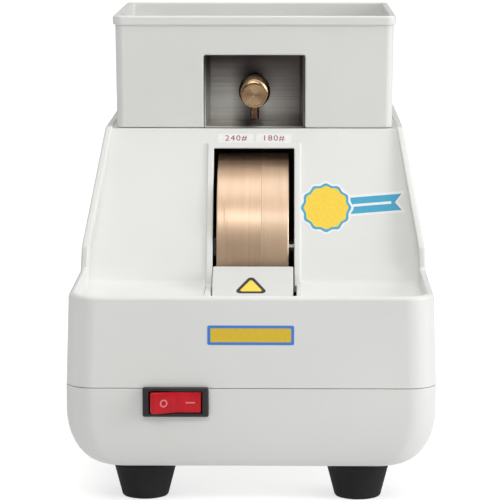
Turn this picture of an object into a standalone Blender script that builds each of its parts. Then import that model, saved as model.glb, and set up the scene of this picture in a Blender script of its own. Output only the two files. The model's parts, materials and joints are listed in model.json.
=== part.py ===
"""Wet bench grinder with one two-grit diamond wheel, a drip tank and a belt drive.

Run with: blender --background --python part.py
Lengths below are in millimetres: X to the right, Y from the front face to the back, Z up from
the ground. put() turns them into metres and moves Y so that the middle of the depth is at zero.
"""

import math

import bmesh
import bpy
from mathutils import Matrix, Vector

# ---------------------------------------------------------------- driving dimensions (mm)
BODY_DEPTH = 275.0
HALF_PARTING = 87.5  # half width at the parting line
PARTING_Z = 57.3
BASE_Z = 18.2
RIM_Z = 100.8  # top of the front wall
TRAY_Z = 92.0
DECK_Z = 166.0
DECK_RIM_Z = 167.2
WALL = 3.0
LIP = 3.3
PLAN_R = 14.0
SLOPE_FOOT = (88.0, 92.0)  # (y, z)
SLOPE_TOP = (133.0, 166.0)

WHEEL_Y, WHEEL_Z = 146.8, 101.9
WHEEL_R = 50.0
WHEEL_HALF = 17.75
GRIT_SPLIT_X = 3.9
SPINDLE_R = 5.0

MOTOR_Y, MOTOR_Z = 232.0, 66.0
MOTOR_R = 35.0
BELT_X = 56.0
PULLEY_R = 15.0

TANK_HALF = 71.3
TANK_Y0, TANK_Y1 = 136.0, 261.0
TANK_TOP = 223.6
TANK_BOTTOM = 166.3
TANK_WALL = 2.5
NICHE_HALF = 26.0
NICHE_TOP = 203.5
NICHE_BACK = 165.0

SLOT_HALF = 20.5
BORDER = 3.2
BORDER_RISE = 1.2

SWITCH_X, SWITCH_Z = -35.2, 51.0
ROCKER_TILT = math.radians(10.0)

TAP_TILT = math.radians(13.0)
TAP_Y, TAP_Z = 147.0, 186.2  # on the axis of the valve barrel, above the spout

FOOT_X = 51.0
FOOT_Y = (27.0, 240.0)
FOOT_TOP = 17.9

# the depth runs from the rocker's proud edge to the flange of the mains inlet
FRONT_MOST, REAR_MOST = -6.3, 277.6
Y_MID = 0.5 * (FRONT_MOST + REAR_MOST)
MM = 0.001

for old in list(bpy.data.objects):
    bpy.data.objects.remove(old, do_unlink=True)


# ---------------------------------------------------------------- helpers
def put(p):
    return Vector((p[0] * MM, (p[1] - Y_MID) * MM, p[2] * MM))


MATERIALS = {}


def material(name, colour, rough, metal=0.0):
    if name not in MATERIALS:
        made = bpy.data.materials.new(name)
        made.use_nodes = True
        shader = made.node_tree.nodes["Principled BSDF"]
        shader.inputs["Base Color"].default_value = (*colour, 1.0)
        shader.inputs["Roughness"].default_value = rough
        shader.inputs["Metallic"].default_value = metal
        made.diffuse_color = (*colour, 1.0)
        MATERIALS[name] = made
    return MATERIALS[name]


def add(name, bm, look=None, origin=None, smooth=None, cutter=False):
    """Turns a bmesh in design millimetres into an object whose origin is at the given point."""
    centre = put(origin) if origin else Vector((0, 0, 0))
    bmesh.ops.recalc_face_normals(bm, faces=bm.faces)
    for v in bm.verts:
        v.co = put(v.co) - centre
    mesh = bpy.data.meshes.new(name)
    bm.to_mesh(mesh)
    bm.free()
    obj = bpy.data.objects.new(name, mesh)
    obj.location = centre
    bpy.context.scene.collection.objects.link(obj)
    if look:
        base = look if isinstance(look, tuple) else (look,)
        made = material(name + "_mat", *base)
        mesh.materials.append(made)
    if smooth:
        mesh.shade_smooth()
        mesh.set_sharp_from_angle(angle=math.radians(smooth))
    if cutter:
        obj.hide_render = True
        obj.display_type = "WIRE"
    return obj


def cut(target, name, bm, operation="DIFFERENCE"):
    tool = add(name, bm, cutter=True)
    step = target.modifiers.new(name, "BOOLEAN")
    step.operation = operation
    step.solver = "EXACT"
    step.object = tool
    return tool


def loft(rings, closed=False):
    """Faces between rings of equal length, with end caps unless the last ring joins the first."""
    bm = bmesh.new()
    loops = [[bm.verts.new(p) for p in ring] for ring in rings]
    count = len(loops[0])
    pairs = list(zip(loops, loops[1:]))
    if closed:
        pairs.append((loops[-1], loops[0]))
    for low, high in pairs:
        for i in range(count):
            j = (i + 1) % count
            bm.faces.new((low[i], low[j], high[j], high[i]))
    if not closed:
        bm.faces.new(list(reversed(loops[0])))
        bm.faces.new(loops[-1])
    return bm


def box(x0, x1, y0, y1, z0, z1):
    return loft(
        [
            [(x0, y0, z), (x1, y0, z), (x1, y1, z), (x0, y1, z)]
            for z in (z0, z1)
        ]
    )


def join(*meshes):
    """Several closed shapes in one cutter."""
    bm = bmesh.new()
    for part in meshes:
        held = bpy.data.meshes.new("held")
        part.to_mesh(held)
        part.free()
        bm.from_mesh(held)
        bpy.data.meshes.remove(held)
    return bm


def prism(points, a0, a1, axis="x"):
    """A polygon swept along one axis: points are (y, z) for x, (x, z) for y and (x, y) for z."""
    order = {
        "x": lambda a, p: (a, p[0], p[1]),
        "y": lambda a, p: (p[0], a, p[1]),
        "z": lambda a, p: (p[0], p[1], a),
    }[axis]
    return loft([[order(a, p) for p in points] for a in (a0, a1)])


def turned(profile, origin, direction, steps=24, ring=False):
    """A profile of (radius, distance) turned about an axis. Radius 0 at either end closes it;
    ring=True joins the last point to the first, for a shape with a hole along its axis."""
    bm = bmesh.new()
    ahead = Vector(direction).normalized()
    side = ahead.orthogonal().normalized()
    other = ahead.cross(side)
    start = Vector(origin)
    loops = []
    for r, s in profile:
        if r < 1e-6:
            loops.append([bm.verts.new(start + ahead * s)])
            continue
        loops.append(
            [
                bm.verts.new(
                    start
                    + ahead * s
                    + side * (r * math.cos(2 * math.pi * (k + 0.5) / steps))
                    + other * (r * math.sin(2 * math.pi * (k + 0.5) / steps))
                )
                for k in range(steps)
            ]
        )
    pairs = list(zip(loops, loops[1:]))
    if ring:
        pairs.append((loops[-1], loops[0]))
    for a, b in pairs:
        for k in range(steps):
            m = (k + 1) % steps
            if len(a) == 1 and len(b) == 1:
                continue
            if len(a) == 1:
                bm.faces.new((a[0], b[k], b[m]))
            elif len(b) == 1:
                bm.faces.new((a[k], b[0], a[m]))
            else:
                bm.faces.new((a[k], b[k], b[m], a[m]))
    if not ring:
        for loop in (loops[0], loops[-1]):
            if len(loop) > 1:
                bm.faces.new(loop)
    return bm


def rod(r, p0, p1, steps=20):
    a, b = Vector(p0), Vector(p1)
    return turned([(r, 0.0), (r, (b - a).length)], a, b - a, steps)


def tube(r_in, r_out, p0, p1, steps=24):
    a, b = Vector(p0), Vector(p1)
    d = (b - a).length
    return turned([(r_in, 0), (r_out, 0), (r_out, d), (r_in, d)], a, b - a, steps, ring=True)


def rrect(half, y0, y1, r, z, n=5):
    """A rounded rectangle in plan at height z."""
    points = []
    corners = (
        (half - r, y0 + r, -90),
        (half - r, y1 - r, 0),
        (-half + r, y1 - r, 90),
        (-half + r, y0 + r, 180),
    )
    for cx, cy, start in corners:
        for k in range(n + 1):
            t = math.radians(start + 90.0 * k / n)
            points.append((cx + r * math.cos(t), cy + r * math.sin(t), z))
    return points


def between(table, z):
    for (z0, v0), (z1, v1) in zip(table, table[1:]):
        if z <= z1:
            return v0 + (v1 - v0) * (z - z0) / (z1 - z0)
    return table[-1][1]


# ---------------------------------------------------------------- looks
WHITE = ((0.76, 0.765, 0.745), 0.42)
BLACK_RUBBER = ((0.017, 0.016, 0.017), 0.72)
BLACK_PLASTIC = ((0.022, 0.02, 0.022), 0.38)
RED = ((0.58, 0.014, 0.022), 0.25)
BRASS = ((0.52, 0.36, 0.16), 0.28, 1.0)
BRONZE = ((0.46, 0.31, 0.17), 0.38, 1.0)
STEEL = ((0.52, 0.52, 0.53), 0.32, 1.0)
DARK_STEEL = ((0.16, 0.14, 0.13), 0.42, 1.0)
ALUMINIUM = ((0.66, 0.66, 0.67), 0.4, 1.0)
CAST = ((0.2, 0.21, 0.22), 0.6, 0.6)
COPPER = ((0.45, 0.2, 0.1), 0.45, 1.0)
GREY_PLASTIC = ((0.3, 0.31, 0.32), 0.5)

# ---------------------------------------------------------------- upper shell
HALF_AT = ((PARTING_Z, HALF_PARTING), (RIM_Z, 86.2), (111.0, 85.8), (DECK_Z, 76.4), (230.0, 65.4))
FRONT_AT = ((PARTING_Z, 0.0), (RIM_Z, 0.8), (230.0, 0.8))
BACK_AT = ((PARTING_Z, BODY_DEPTH), (RIM_Z, 274.0), (DECK_Z, 271.5), (230.0, 268.0))


def shell_ring(z, inset):
    return rrect(
        between(HALF_AT, z) - inset,
        between(FRONT_AT, z) + inset,
        between(BACK_AT, z) - inset,
        PLAN_R - inset,
        z,
    )


SEAM = 0.25  # half of the parting gap
upper_shell = add(
    "upper_shell",
    loft([shell_ring(z, 0.0) for z in (PARTING_Z + SEAM, RIM_Z, 111.0, DECK_RIM_Z)]),
    WHITE,
    smooth=30,
)
# the front part is cut down to the rim, and the side lips rise along the slope
cut(
    upper_shell,
    "shape_front",
    prism(
        [(-20, RIM_Z), (87.5, RIM_Z), (89.5, 111.0), (131.6, DECK_RIM_Z), (131.6, 200), (-20, 200)],
        -120,
        120,
    ),
)
# the tray, the slope and the deck lie inside the lips
recess = add(
    "shape_recess",
    loft([shell_ring(z, LIP) for z in (80.0, RIM_Z, 111.0, DECK_Z, 180.0)]),
    cutter=True,
)
cut(
    recess,
    "shape_recess_above",
    prism([(-10, TRAY_Z), SLOPE_FOOT, SLOPE_TOP, (300, DECK_Z), (300, 220), (-10, 220)], -110, 110),
    "INTERSECT",
)
step = upper_shell.modifiers.new("recess", "BOOLEAN")
step.operation, step.solver, step.object = "DIFFERENCE", "EXACT", recess
# the hollow under them
hollow = add(
    "shape_hollow",
    loft([shell_ring(z, WALL) for z in (PARTING_Z, RIM_Z, 111.0, DECK_Z, 180.0)]),
    cutter=True,
)
for v in hollow.data.vertices:
    if v.co.z < (PARTING_Z + 0.1) * MM:
        v.co.z -= 8 * MM
cut(
    hollow,
    "shape_hollow_below",
    prism(
        [(-10, 40), (-10, TRAY_Z - WALL), (89.7, TRAY_Z - WALL), (134.7, DECK_Z - WALL), (300, DECK_Z - WALL), (300, 40)],
        -110,
        110,
    ),
    "INTERSECT",
)
step = upper_shell.modifiers.new("hollow", "BOOLEAN")
step.operation, step.solver, step.object = "DIFFERENCE", "EXACT", hollow

SLOPE = Vector((0.0, SLOPE_TOP[0] - SLOPE_FOOT[0], SLOPE_TOP[1] - SLOPE_FOOT[1])).normalized()
OUTWARD = Vector((0.0, -SLOPE.z, SLOPE.y))


def on_slope(along, out):
    """(y, z) at a distance up the slope from its foot, and out of its surface."""
    p = Vector((0.0, SLOPE_FOOT[0], SLOPE_FOOT[1])) + SLOPE * along + OUTWARD * out
    return (p.y, p.z)


SLOT_LENGTH = 75.2
SLOT_FOOT_Y = 48.0
# raised border around the slot, up the slope and along the tray floor
cut(
    upper_shell,
    "shape_border",
    prism(
        [
            on_slope(SLOT_LENGTH + BORDER, -1.5),
            on_slope(SLOT_LENGTH + BORDER, BORDER_RISE),
            on_slope(-0.7, BORDER_RISE),
            (SLOT_FOOT_Y - BORDER, TRAY_Z + BORDER_RISE),
            (SLOT_FOOT_Y - BORDER, TRAY_Z - 1.5),
            on_slope(1.0, -1.5),
        ],
        -SLOT_HALF - BORDER,
        SLOT_HALF + BORDER,
    ),
    "UNION",
)
cut(
    upper_shell,
    "shape_slot",
    prism(
        [
            on_slope(SLOT_LENGTH, 12),
            on_slope(SLOT_LENGTH, 0.6),
            on_slope(SLOT_LENGTH + 4.0, -6.0),
            on_slope(SLOT_LENGTH, -12),
            (100, 78),
            (SLOT_FOOT_Y, 78),
            (SLOT_FOOT_Y, 106),
            (72, 106),
        ],
        -SLOT_HALF,
        SLOT_HALF,
    ),
)
# the slot is wider on the right beside the guard insert
cut(upper_shell, "shape_slot_side", box(15, SLOT_HALF + 1.1, 50, 86.5, 80, 106))
# drip opening in the deck
cut(upper_shell, "shape_drip", box(-14, 14, 139, 158, 155, 175))
# screw columns with their gussets
for tag, sx, y, inner in (
    ("fl", -1, 16.0, 68.0),
    ("fr", 1, 16.0, 68.0),
    ("rl", -1, 215.0, 72.0),
    ("rr", 1, 215.0, 72.0),
):
    top = 90.0 if y < 100 else 108.0
    column = rod(5.0, (sx * inner, y, 32.6), (sx * inner, y, top), 12)
    cut(upper_shell, "shape_column_" + tag, column, "UNION")
    far = 84.9 if y > 100 else 84.0
    low, high = sorted((sx * (inner + 3.0), sx * far))
    cut(
        upper_shell,
        "shape_gusset_" + tag,
        box(low, high, y - 1.5, y + 1.5, 64.0, 102.0 if y > 100 else 90.5),
        "UNION",
    )
    cut(
        upper_shell,
        "shape_column_bore_" + tag,
        rod(2.3, (sx * inner, y, 20.0), (sx * inner, y, 47.0), 12),
    )

# ---------------------------------------------------------------- lower shell
ARC_X, ARC_Y, ARC_Z = 19.0, 9.0, 27.0  # roundings of the bottom edge at the sides and at the ends


def tub_ring(z, inset, turn=None):
    """A ring of the tub: turn is the angle around the bottom rounding, None on the walls."""
    k = 0.0 if turn is None else 1.0 - math.cos(turn)
    return rrect(
        HALF_PARTING - inset - (ARC_X - inset) * k,
        inset + (ARC_Y - inset) * k,
        BODY_DEPTH - inset - (ARC_Y - inset) * k,
        max(PLAN_R - inset - 3.0 * k, 5.0),
        z,
    )


tub_rings = []
for deg in (90, 65, 42, 20, 0):
    t = math.radians(deg)
    tub_rings.append(tub_ring(BASE_Z + ARC_Z * (1 - math.sin(t)), 0.0, t))
tub_rings += [
    tub_ring(PARTING_Z - SEAM, 0.0),
    tub_ring(PARTING_Z - SEAM, 3.8),
    tub_ring(61.0, 3.8),
    tub_ring(61.0, 5.4),
    tub_ring(50.0, 5.4),
    tub_ring(47.0, 3.0),
]
for deg in (0, 30, 60, 90):
    t = math.radians(deg)
    tub_rings.append(tub_ring(BASE_Z + WALL + (ARC_Z - WALL) * (1 - math.sin(t)), WALL, t))
base_tub = add("base_tub", loft(tub_rings), WHITE, smooth=30)
# bosses for the feet and the case screws
for tag, sx, y in (
    ("fl", -1, FOOT_Y[0]),
    ("fr", 1, FOOT_Y[0]),
    ("rl", -1, FOOT_Y[1]),
    ("rr", 1, FOOT_Y[1]),
):
    cut(base_tub, "shape_pad_" + tag, rod(8.0, (sx * FOOT_X, y, 19.0), (sx * FOOT_X, y, 23.7), 12), "UNION")
    cut(base_tub, "shape_pad_bore_" + tag, rod(2.4, (sx * FOOT_X, y, 10.0), (sx * FOOT_X, y, 30.0), 10))
for tag, sx, y, x in (
    ("fl", -1, 16.0, 68.0),
    ("fr", 1, 16.0, 68.0),
    ("rl", -1, 215.0, 72.0),
    ("rr", 1, 215.0, 72.0),
):
    cut(base_tub, "shape_boss_" + tag, rod(6.5, (sx * x, y, 19.6), (sx * x, y, 32.2), 12), "UNION")
    cut(
        base_tub,
        "shape_boss_bore_" + tag,
        turned([(0, 10), (4.3, 10), (4.3, 25.0), (2.3, 25.0), (2.3, 40), (0, 40)], (sx * x, y, 0), (0, 0, 1), 12),
    )
# switch opening, mains inlet opening, drain opening
cut(base_tub, "shape_switch", box(SWITCH_X - 14.0, SWITCH_X + 14.0, -6, 12, SWITCH_Z - 6.1, SWITCH_Z + 6.1))
INLET_X, INLET_Z = -64.0, 40.0
cut(base_tub, "shape_inlet", box(INLET_X - 13.8, INLET_X + 13.8, 262, 285, INLET_Z - 9.8, INLET_Z + 9.8))
cut(base_tub, "shape_drain", rod(12.0, (0, WHEEL_Y, 10), (0, WHEEL_Y, 30), 20))
# cooling slots in the rear wall and the floor below the motor
cut(
    base_tub,
    "shape_vents_rear",
    join(*[box(x - 1.5, x + 1.5, 262, 285, 30.0, 49.0) for x in range(-18, 52, 12)]),
)

# ---------------------------------------------------------------- feet and their screws
for tag, sx, y in (
    ("front_left", -1, FOOT_Y[0]),
    ("front_right", 1, FOOT_Y[0]),
    ("rear_left", -1, FOOT_Y[1]),
    ("rear_right", 1, FOOT_Y[1]),
):
    add(
        "foot_" + tag,
        turned(
            [(6.0, 0.0), (10.6, 0.0), (11.2, 0.6), (14.9, 15.2), (15.4, 15.2), (15.4, FOOT_TOP), (2.4, FOOT_TOP), (2.4, 9.0), (6.0, 9.0)],
            (sx * FOOT_X, y, 0),
            (0, 0, 1),
            20,
            ring=True,
        ),
        BLACK_RUBBER,
        smooth=30,
    )
    add(
        "foot_screw_" + tag,
        turned(
            [(0, 5.6), (4.6, 6.0), (4.6, 8.7), (2.0, 8.7), (2.0, 28.5), (0, 28.5)],
            (sx * FOOT_X, y, 0),
            (0, 0, 1),
            10,
        ),
        STEEL,
        smooth=30,
    )
for tag, sx, y, x in (
    ("front_left", -1, 16.0, 68.0),
    ("front_right", 1, 16.0, 68.0),
    ("rear_left", -1, 215.0, 72.0),
    ("rear_right", 1, 215.0, 72.0),
):
    add(
        "case_screw_" + tag,
        turned(
            [(0, 21.8), (3.9, 22.4), (3.9, 24.7), (1.95, 24.7), (1.95, 44.0), (0, 44.0)],
            (sx * x, y, 0),
            (0, 0, 1),
            10,
        ),
        STEEL,
        smooth=30,
    )

# ---------------------------------------------------------------- water tank
T0, T1 = TANK_Y0, TANK_Y1


def tank_ring(z, inset, r=4.0):
    draft = (z - TANK_BOTTOM) * 0.012
    return rrect(
        TANK_HALF - 0.6 + draft - inset,
        T0 - draft * 0.6 + inset,
        T1 + draft - inset,
        max(r - inset, 1.2),
        z,
        3,
    )


water_tank = add(
    "water_tank",
    loft(
        [
            tank_ring(TANK_BOTTOM, 0.0),
            tank_ring(TANK_TOP - 4.6, 0.0),
            tank_ring(TANK_TOP - 4.6, -1.2),
            tank_ring(TANK_TOP, -1.2),
            tank_ring(TANK_TOP, TANK_WALL),
            tank_ring(TANK_BOTTOM + TANK_WALL, TANK_WALL),
        ]
    ),
    WHITE,
    smooth=30,
)
cut(
    water_tank,
    "shape_niche_wall",
    prism(
        [(-NICHE_HALF - 2.5, T0 + 0.6), (NICHE_HALF + 2.5, T0 + 0.6), (26.7, NICHE_BACK + 2.5), (-26.7, NICHE_BACK + 2.5)],
        TANK_BOTTOM + 0.5,
        NICHE_TOP + 2.5,
        "z",
    ),
    "UNION",
)
cut(
    water_tank,
    "shape_niche",
    prism(
        [(-NICHE_HALF, T0 - 8), (NICHE_HALF, T0 - 8), (NICHE_HALF, T0), (24.2, NICHE_BACK), (-24.2, NICHE_BACK), (-NICHE_HALF, T0)],
        TANK_BOTTOM - 5,
        NICHE_TOP,
        "z",
    ),
)
SHANK_Z = 187.0
cut(water_tank, "shape_tap_hole", rod(4.4, (0, 160, SHANK_Z), (0, 175, SHANK_Z), 16))

# the folded plate that lines the niche
tap_plate = add(
    "tap_plate",
    prism([(137.0, 166.3), (NICHE_BACK - 0.4, 166.3), (NICHE_BACK - 0.4, 203.1), (NICHE_BACK - 1.1, 203.1), (NICHE_BACK - 1.1, 167.0), (137.0, 167.0)], -23.7, 23.7),
    DARK_STEEL,
)
cut(tap_plate, "shape_plate_floor", prism([(-25.2, 137.0), (25.2, 137.0), (23.4, 164.0), (-23.4, 164.0)], 166.3, 167.0, "z"), "UNION")
for tag, sx in (("left", -1), ("right", 1)):
    side = [(25.6, 137.0), (24.9, 137.0), (23.2, 164.6), (23.92, 164.6)]
    if sx < 0:
        side = [(-x, y) for x, y in reversed(side)]
    cut(tap_plate, "shape_plate_" + tag, prism(side, 166.3, 203.1, "z"), "UNION")
cut(tap_plate, "shape_plate_hole", rod(4.4, (0, 160, SHANK_Z), (0, 170, SHANK_Z), 16))
cut(tap_plate, "shape_plate_drip", rod(5.0, (0, 148.0, 160), (0, 148.0, 170), 16))

# ---------------------------------------------------------------- tap
AXIS = Vector((0.0, math.cos(TAP_TILT), math.sin(TAP_TILT)))  # from the knob back to the wall
BARREL = Vector((0.0, TAP_Y, TAP_Z))
tap_body = add(
    "tap_body",
    turned([(0, -2.8), (4.6, -2.8), (5.2, -2.2), (5.2, 5.0), (4.2, 8.5), (4.2, 11.0), (0, 11.0)], BARREL, AXIS, 16),
    BRASS,
    smooth=30,
)
cut(
    tap_body,
    "shape_tap_shank",
    turned([(0, 155.5), (4.0, 156.0), (5.6, 158.0), (5.6, 163.2), (4.1, 163.2), (4.1, 180.0), (0, 180.0)], (0, 0, SHANK_Z), (0, 1, 0), 16),
    "UNION",
)
cut(tap_body, "shape_tap_spout", rod(2.35, (0, 149.0, 169.2), (0, 149.0, 185.5), 12), "UNION")
cut(tap_body, "shape_tap_bore", rod(1.8, (0, 166, SHANK_Z), (0, 190, SHANK_Z), 10))
tap_knob = add(
    "tap_knob",
    turned(
        [(0, -14.6), (5.8, -14.6), (6.6, -13.9), (6.6, -12.6), (5.8, -12.2), (5.8, -11.7), (7.6, -10.4), (8.3, -8.0), (8.3, -3.9), (7.5, -3.2), (0, -3.2)],
        BARREL,
        AXIS,
        20,
    ),
    BRASS,
    origin=tuple(BARREL - AXIS * 8.0),
    smooth=30,
)
add(
    "tap_gasket",
    tube(4.5, 8.0, (0, NICHE_BACK + 2.8, SHANK_Z), (0, NICHE_BACK + 4.6, SHANK_Z), 20),
    BLACK_RUBBER,
    smooth=30,
)
add(
    "tap_nut",
    tube(5.1, 8.0, (0, NICHE_BACK + 4.9, SHANK_Z), (0, NICHE_BACK + 10.4, SHANK_Z), 6),
    BRASS,
)

# ---------------------------------------------------------------- front guard insert
add(
    "wheel_guard",
    prism([(49.5, 90.0), (61.0, 90.5), (84.4, 102.2), (86.4, 101.4), (86.4, 98.6), (85.0, 98.6), (63.0, 87.6), (49.5, 87.2)], -20.0, 20.0),
    WHITE,
    smooth=30,
)

# ---------------------------------------------------------------- diamond wheel on its spindle
SPIN = (0.0, WHEEL_Y, WHEEL_Z)


def along_x(profile, steps, ring=False, centre=SPIN):
    return turned(profile, (0, centre[1], centre[2]), (1, 0, 0), steps, ring)


add(
    "wheel_ring_fine",
    along_x(
        [
            (46.0, -18.6), (49.6, -18.6), (WHEEL_R, -18.2),
            (WHEEL_R, -15.9), (48.4, -14.2), (WHEEL_R, -12.5),
            (WHEEL_R, GRIT_SPLIT_X - 0.6), (49.6, GRIT_SPLIT_X - 0.15), (46.0, GRIT_SPLIT_X - 0.15),
        ],
        48,
        ring=True,
    ),
    BRONZE,
    origin=SPIN,
    smooth=40,
)
add(
    "wheel_ring_coarse",
    along_x(
        [
            (46.0, GRIT_SPLIT_X + 0.15), (49.6, GRIT_SPLIT_X + 0.15), (WHEEL_R, GRIT_SPLIT_X + 0.6),
            (WHEEL_R, WHEEL_HALF - 0.4), (49.6, WHEEL_HALF), (46.0, WHEEL_HALF),
        ],
        48,
        ring=True,
    ),
    BRONZE,
    origin=SPIN,
    smooth=40,
)
add(
    "wheel_hub",
    along_x(
        [
            (5.4, -14.0), (18.0, -14.0), (18.0, -9.0), (38.0, -9.0), (38.0, -16.5), (45.6, -16.5),
            (45.6, 16.5), (38.0, 16.5), (38.0, 9.0), (18.0, 9.0), (18.0, 14.0), (5.4, 14.0),
        ],
        28,
        ring=True,
    ),
    ALUMINIUM,
    origin=SPIN,
    smooth=40,
)
add("wheel_flange_left", along_x([(5.3, -17.6), (16.0, -17.6), (16.0, -14.3), (5.3, -14.3)], 20, ring=True), STEEL, origin=SPIN, smooth=30)
add("wheel_flange_right", along_x([(5.3, 14.3), (16.0, 14.3), (16.0, 17.6), (5.3, 17.6)], 20, ring=True), STEEL, origin=SPIN, smooth=30)
add("wheel_nut", along_x([(6.1, -22.6), (9.2, -22.6), (9.2, -17.9), (6.1, -17.9)], 6, ring=True), STEEL, origin=SPIN)
add(
    "spindle",
    along_x([(0, -42.5), (5.0, -42.5), (5.0, 64.0), (0, 64.0)], 20),
    STEEL,
    origin=SPIN,
    smooth=30,
)


def pulley(name, centre, bore):
    x0, x1 = BELT_X - 6.0, BELT_X + 6.0
    return add(
        name,
        along_x(
            [
                (bore, x0), (18.0, x0), (18.0, x0 + 1.4), (PULLEY_R, x0 + 1.6),
                (PULLEY_R, x1 - 1.6), (18.0, x1 - 1.4), (18.0, x1), (bore, x1),
            ],
            20,
            ring=True,
            centre=centre,
        ),
        ALUMINIUM,
        origin=(0, centre[1], centre[2]),
        smooth=30,
    )


pulley("spindle_pulley", SPIN, 5.3)

BLOCK_X0, BLOCK_X1 = 30.0, 41.0
for tag, sx in (("left", -1), ("right", 1)):
    low, high = sorted((sx * BLOCK_X0, sx * BLOCK_X1))
    block = add(
        "bearing_block_" + tag,
        prism(
            [(124, 26.8), (170, 26.8), (170, 38), (164, 42), (164, 108), (156, 119), (138, 119), (130, 108), (130, 42), (124, 38)],
            low,
            high,
        ),
        CAST,
        smooth=30,
    )
    cut(
        block,
        "shape_block_bore_" + tag,
        turned(
            [(0, -8), (8.0, -8), (8.0, 1.2), (13.3, 1.2), (13.3, 20), (0, 20)],
            (sx * BLOCK_X0, WHEEL_Y, WHEEL_Z),
            (sx, 0, 0),
            20,
        ),
    )
    low, high = sorted((sx * (BLOCK_X0 + 1.5), sx * (BLOCK_X0 + 9.5)))
    add(
        "bearing_" + tag,
        tube(5.4, 13.0, (low, WHEEL_Y, WHEEL_Z), (high, WHEEL_Y, WHEEL_Z), 20),
        STEEL,
        smooth=30,
    )

# ---------------------------------------------------------------- sump under the wheel


def barrel(r, z_front, count=14):
    """(y, z) points round the wheel from the chute's end at the front to the rear wall."""
    first = math.pi + math.asin((WHEEL_Z - z_front) / r)
    return [
        (WHEEL_Y + r * math.cos(first + (2 * math.pi - first) * k / count), WHEEL_Z + r * math.sin(first + (2 * math.pi - first) * k / count))
        for k in range(count + 1)
    ]


sump_outer = (
    [(47.0, 88.4), (47.0, 80.5)]
    + barrel(55.6, 71.0)
    + [(WHEEL_Y + 55.6, 160.0), (134.0, 160.0), (90.8, 88.4)]
)
sump_inner = (
    [(49.0, 130.0), (49.0, 82.3)]
    + barrel(53.4, 73.2)
    + [(WHEEL_Y + 53.4, 200.0), (100.0, 200.0)]
)
wheel_sump = add("wheel_sump", prism(sump_outer, -25.6, 25.6), GREY_PLASTIC, smooth=30)
for tag, y in (("front", 116.0), ("rear", 178.0)):
    cut(wheel_sump, "shape_sump_leg_" + tag, box(-20, 20, y - 2.5, y + 2.5, 26.8, 62.0), "UNION")
cut(wheel_sump, "shape_sump_inside", prism(sump_inner, -23.4, 23.4))
cut(wheel_sump, "shape_drain_bore", rod(5.0, (0, WHEEL_Y, 30), (0, WHEEL_Y, 60), 16))
cut(wheel_sump, "shape_sump_shaft", rod(7.0, (-40, WHEEL_Y, WHEEL_Z), (40, WHEEL_Y, WHEEL_Z), 16))
add("drain_pipe", tube(5.0, 7.2, (0, WHEEL_Y, 9.0), (0, WHEEL_Y, 45.9), 20), GREY_PLASTIC, smooth=30)

# ---------------------------------------------------------------- chassis plate
chassis = add("chassis_plate", box(-60, 60, 25.0, 258.0, 24.0, 26.5), STEEL)
cut(
    chassis,
    "shape_chassis_holes",
    join(
        rod(8.2, (0, WHEEL_Y, 10), (0, WHEEL_Y, 40), 16),
        *[rod(2.4, (sx * FOOT_X, y, 10), (sx * FOOT_X, y, 40), 12) for sx in (-1, 1) for y in FOOT_Y],
    ),
)

# ---------------------------------------------------------------- motor
HUB = (0.0, MOTOR_Y, MOTOR_Z)
add("motor_can", along_x([(32.6, -30), (MOTOR_R, -30), (MOTOR_R, 30), (32.6, 30)], 32, True, HUB), CAST, smooth=30)
add("motor_stator", along_x([(21.0, -22), (32.2, -22), (32.2, 22), (21.0, 22)], 24, True, HUB), COPPER, smooth=30)
for tag, sx in (("left", -1), ("right", 1)):
    profile = [(5.4, 38.0), (16.0, 38.0), (17.0, 34.0), (33.0, 33.0), (MOTOR_R, 31.5), (MOTOR_R, 30.3), (5.4, 30.3)]
    if sx < 0:
        profile = [(r, -s) for r, s in profile]
    add("motor_end_" + tag, along_x(profile, 32, True, HUB), ALUMINIUM, smooth=30)
add(
    "motor_rotor",
    along_x(
        [(0, -48), (5.0, -48), (5.0, -20), (20.6, -20), (20.6, 20), (5.0, 20), (5.0, 64), (0, 64)],
        20,
        False,
        HUB,
    ),
    STEEL,
    origin=HUB,
    smooth=30,
)
fan = add(
    "motor_fan",
    along_x([(5.3, -47.5), (9.0, -47.5), (9.0, -41.0), (27.0, -41.0), (27.0, -39.4), (5.3, -39.4)], 20, True, HUB),
    BLACK_PLASTIC,
    origin=HUB,
    smooth=30,
)
blades = []
for k in range(6):
    t = 2 * math.pi * k / 6
    c, s = math.cos(t), math.sin(t)
    flat = [(8.6, -0.8), (26.0, -0.8), (26.0, 0.8), (8.6, 0.8)]
    blades.append(
        prism([(MOTOR_Y + c * a - s * b, MOTOR_Z + s * a + c * b) for a, b in flat], -47.0, -40.2)
    )
cut(fan, "shape_fan_blades", join(*blades), "UNION")
pulley("motor_pulley", HUB, 5.3)
bracket = add("motor_bracket", prism([(203, 26.8), (261, 26.8), (261, 31), (254, 45), (210, 45), (203, 31)], -24, 24), CAST)
cut(bracket, "shape_bracket_bed", rod(MOTOR_R + 0.35, (-60, MOTOR_Y, MOTOR_Z), (60, MOTOR_Y, MOTOR_Z), 32))


# ---------------------------------------------------------------- belt
def belt_loop(r):
    """(y, z) round both pulleys, which are equal."""
    line = math.atan2(WHEEL_Z - MOTOR_Z, WHEEL_Y - MOTOR_Y)
    points = []
    for centre, start in ((SPIN, line - math.pi / 2), (HUB, line + math.pi / 2)):
        for k in range(11):
            t = start + math.pi * k / 10
            points.append((centre[1] + r * math.cos(t), centre[2] + r * math.sin(t)))
    return points


inner, outer = belt_loop(PULLEY_R + 0.35), belt_loop(PULLEY_R + 2.9)
add(
    "drive_belt",
    loft(
        [
            [(x, y, z) for y, z in loop]
            for x, loop in (
                (BELT_X - 4.0, inner),
                (BELT_X - 4.0, outer),
                (BELT_X + 4.0, outer),
                (BELT_X + 4.0, inner),
            )
        ],
        closed=True,
    ),
    BLACK_RUBBER,
    smooth=30,
)

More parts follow.
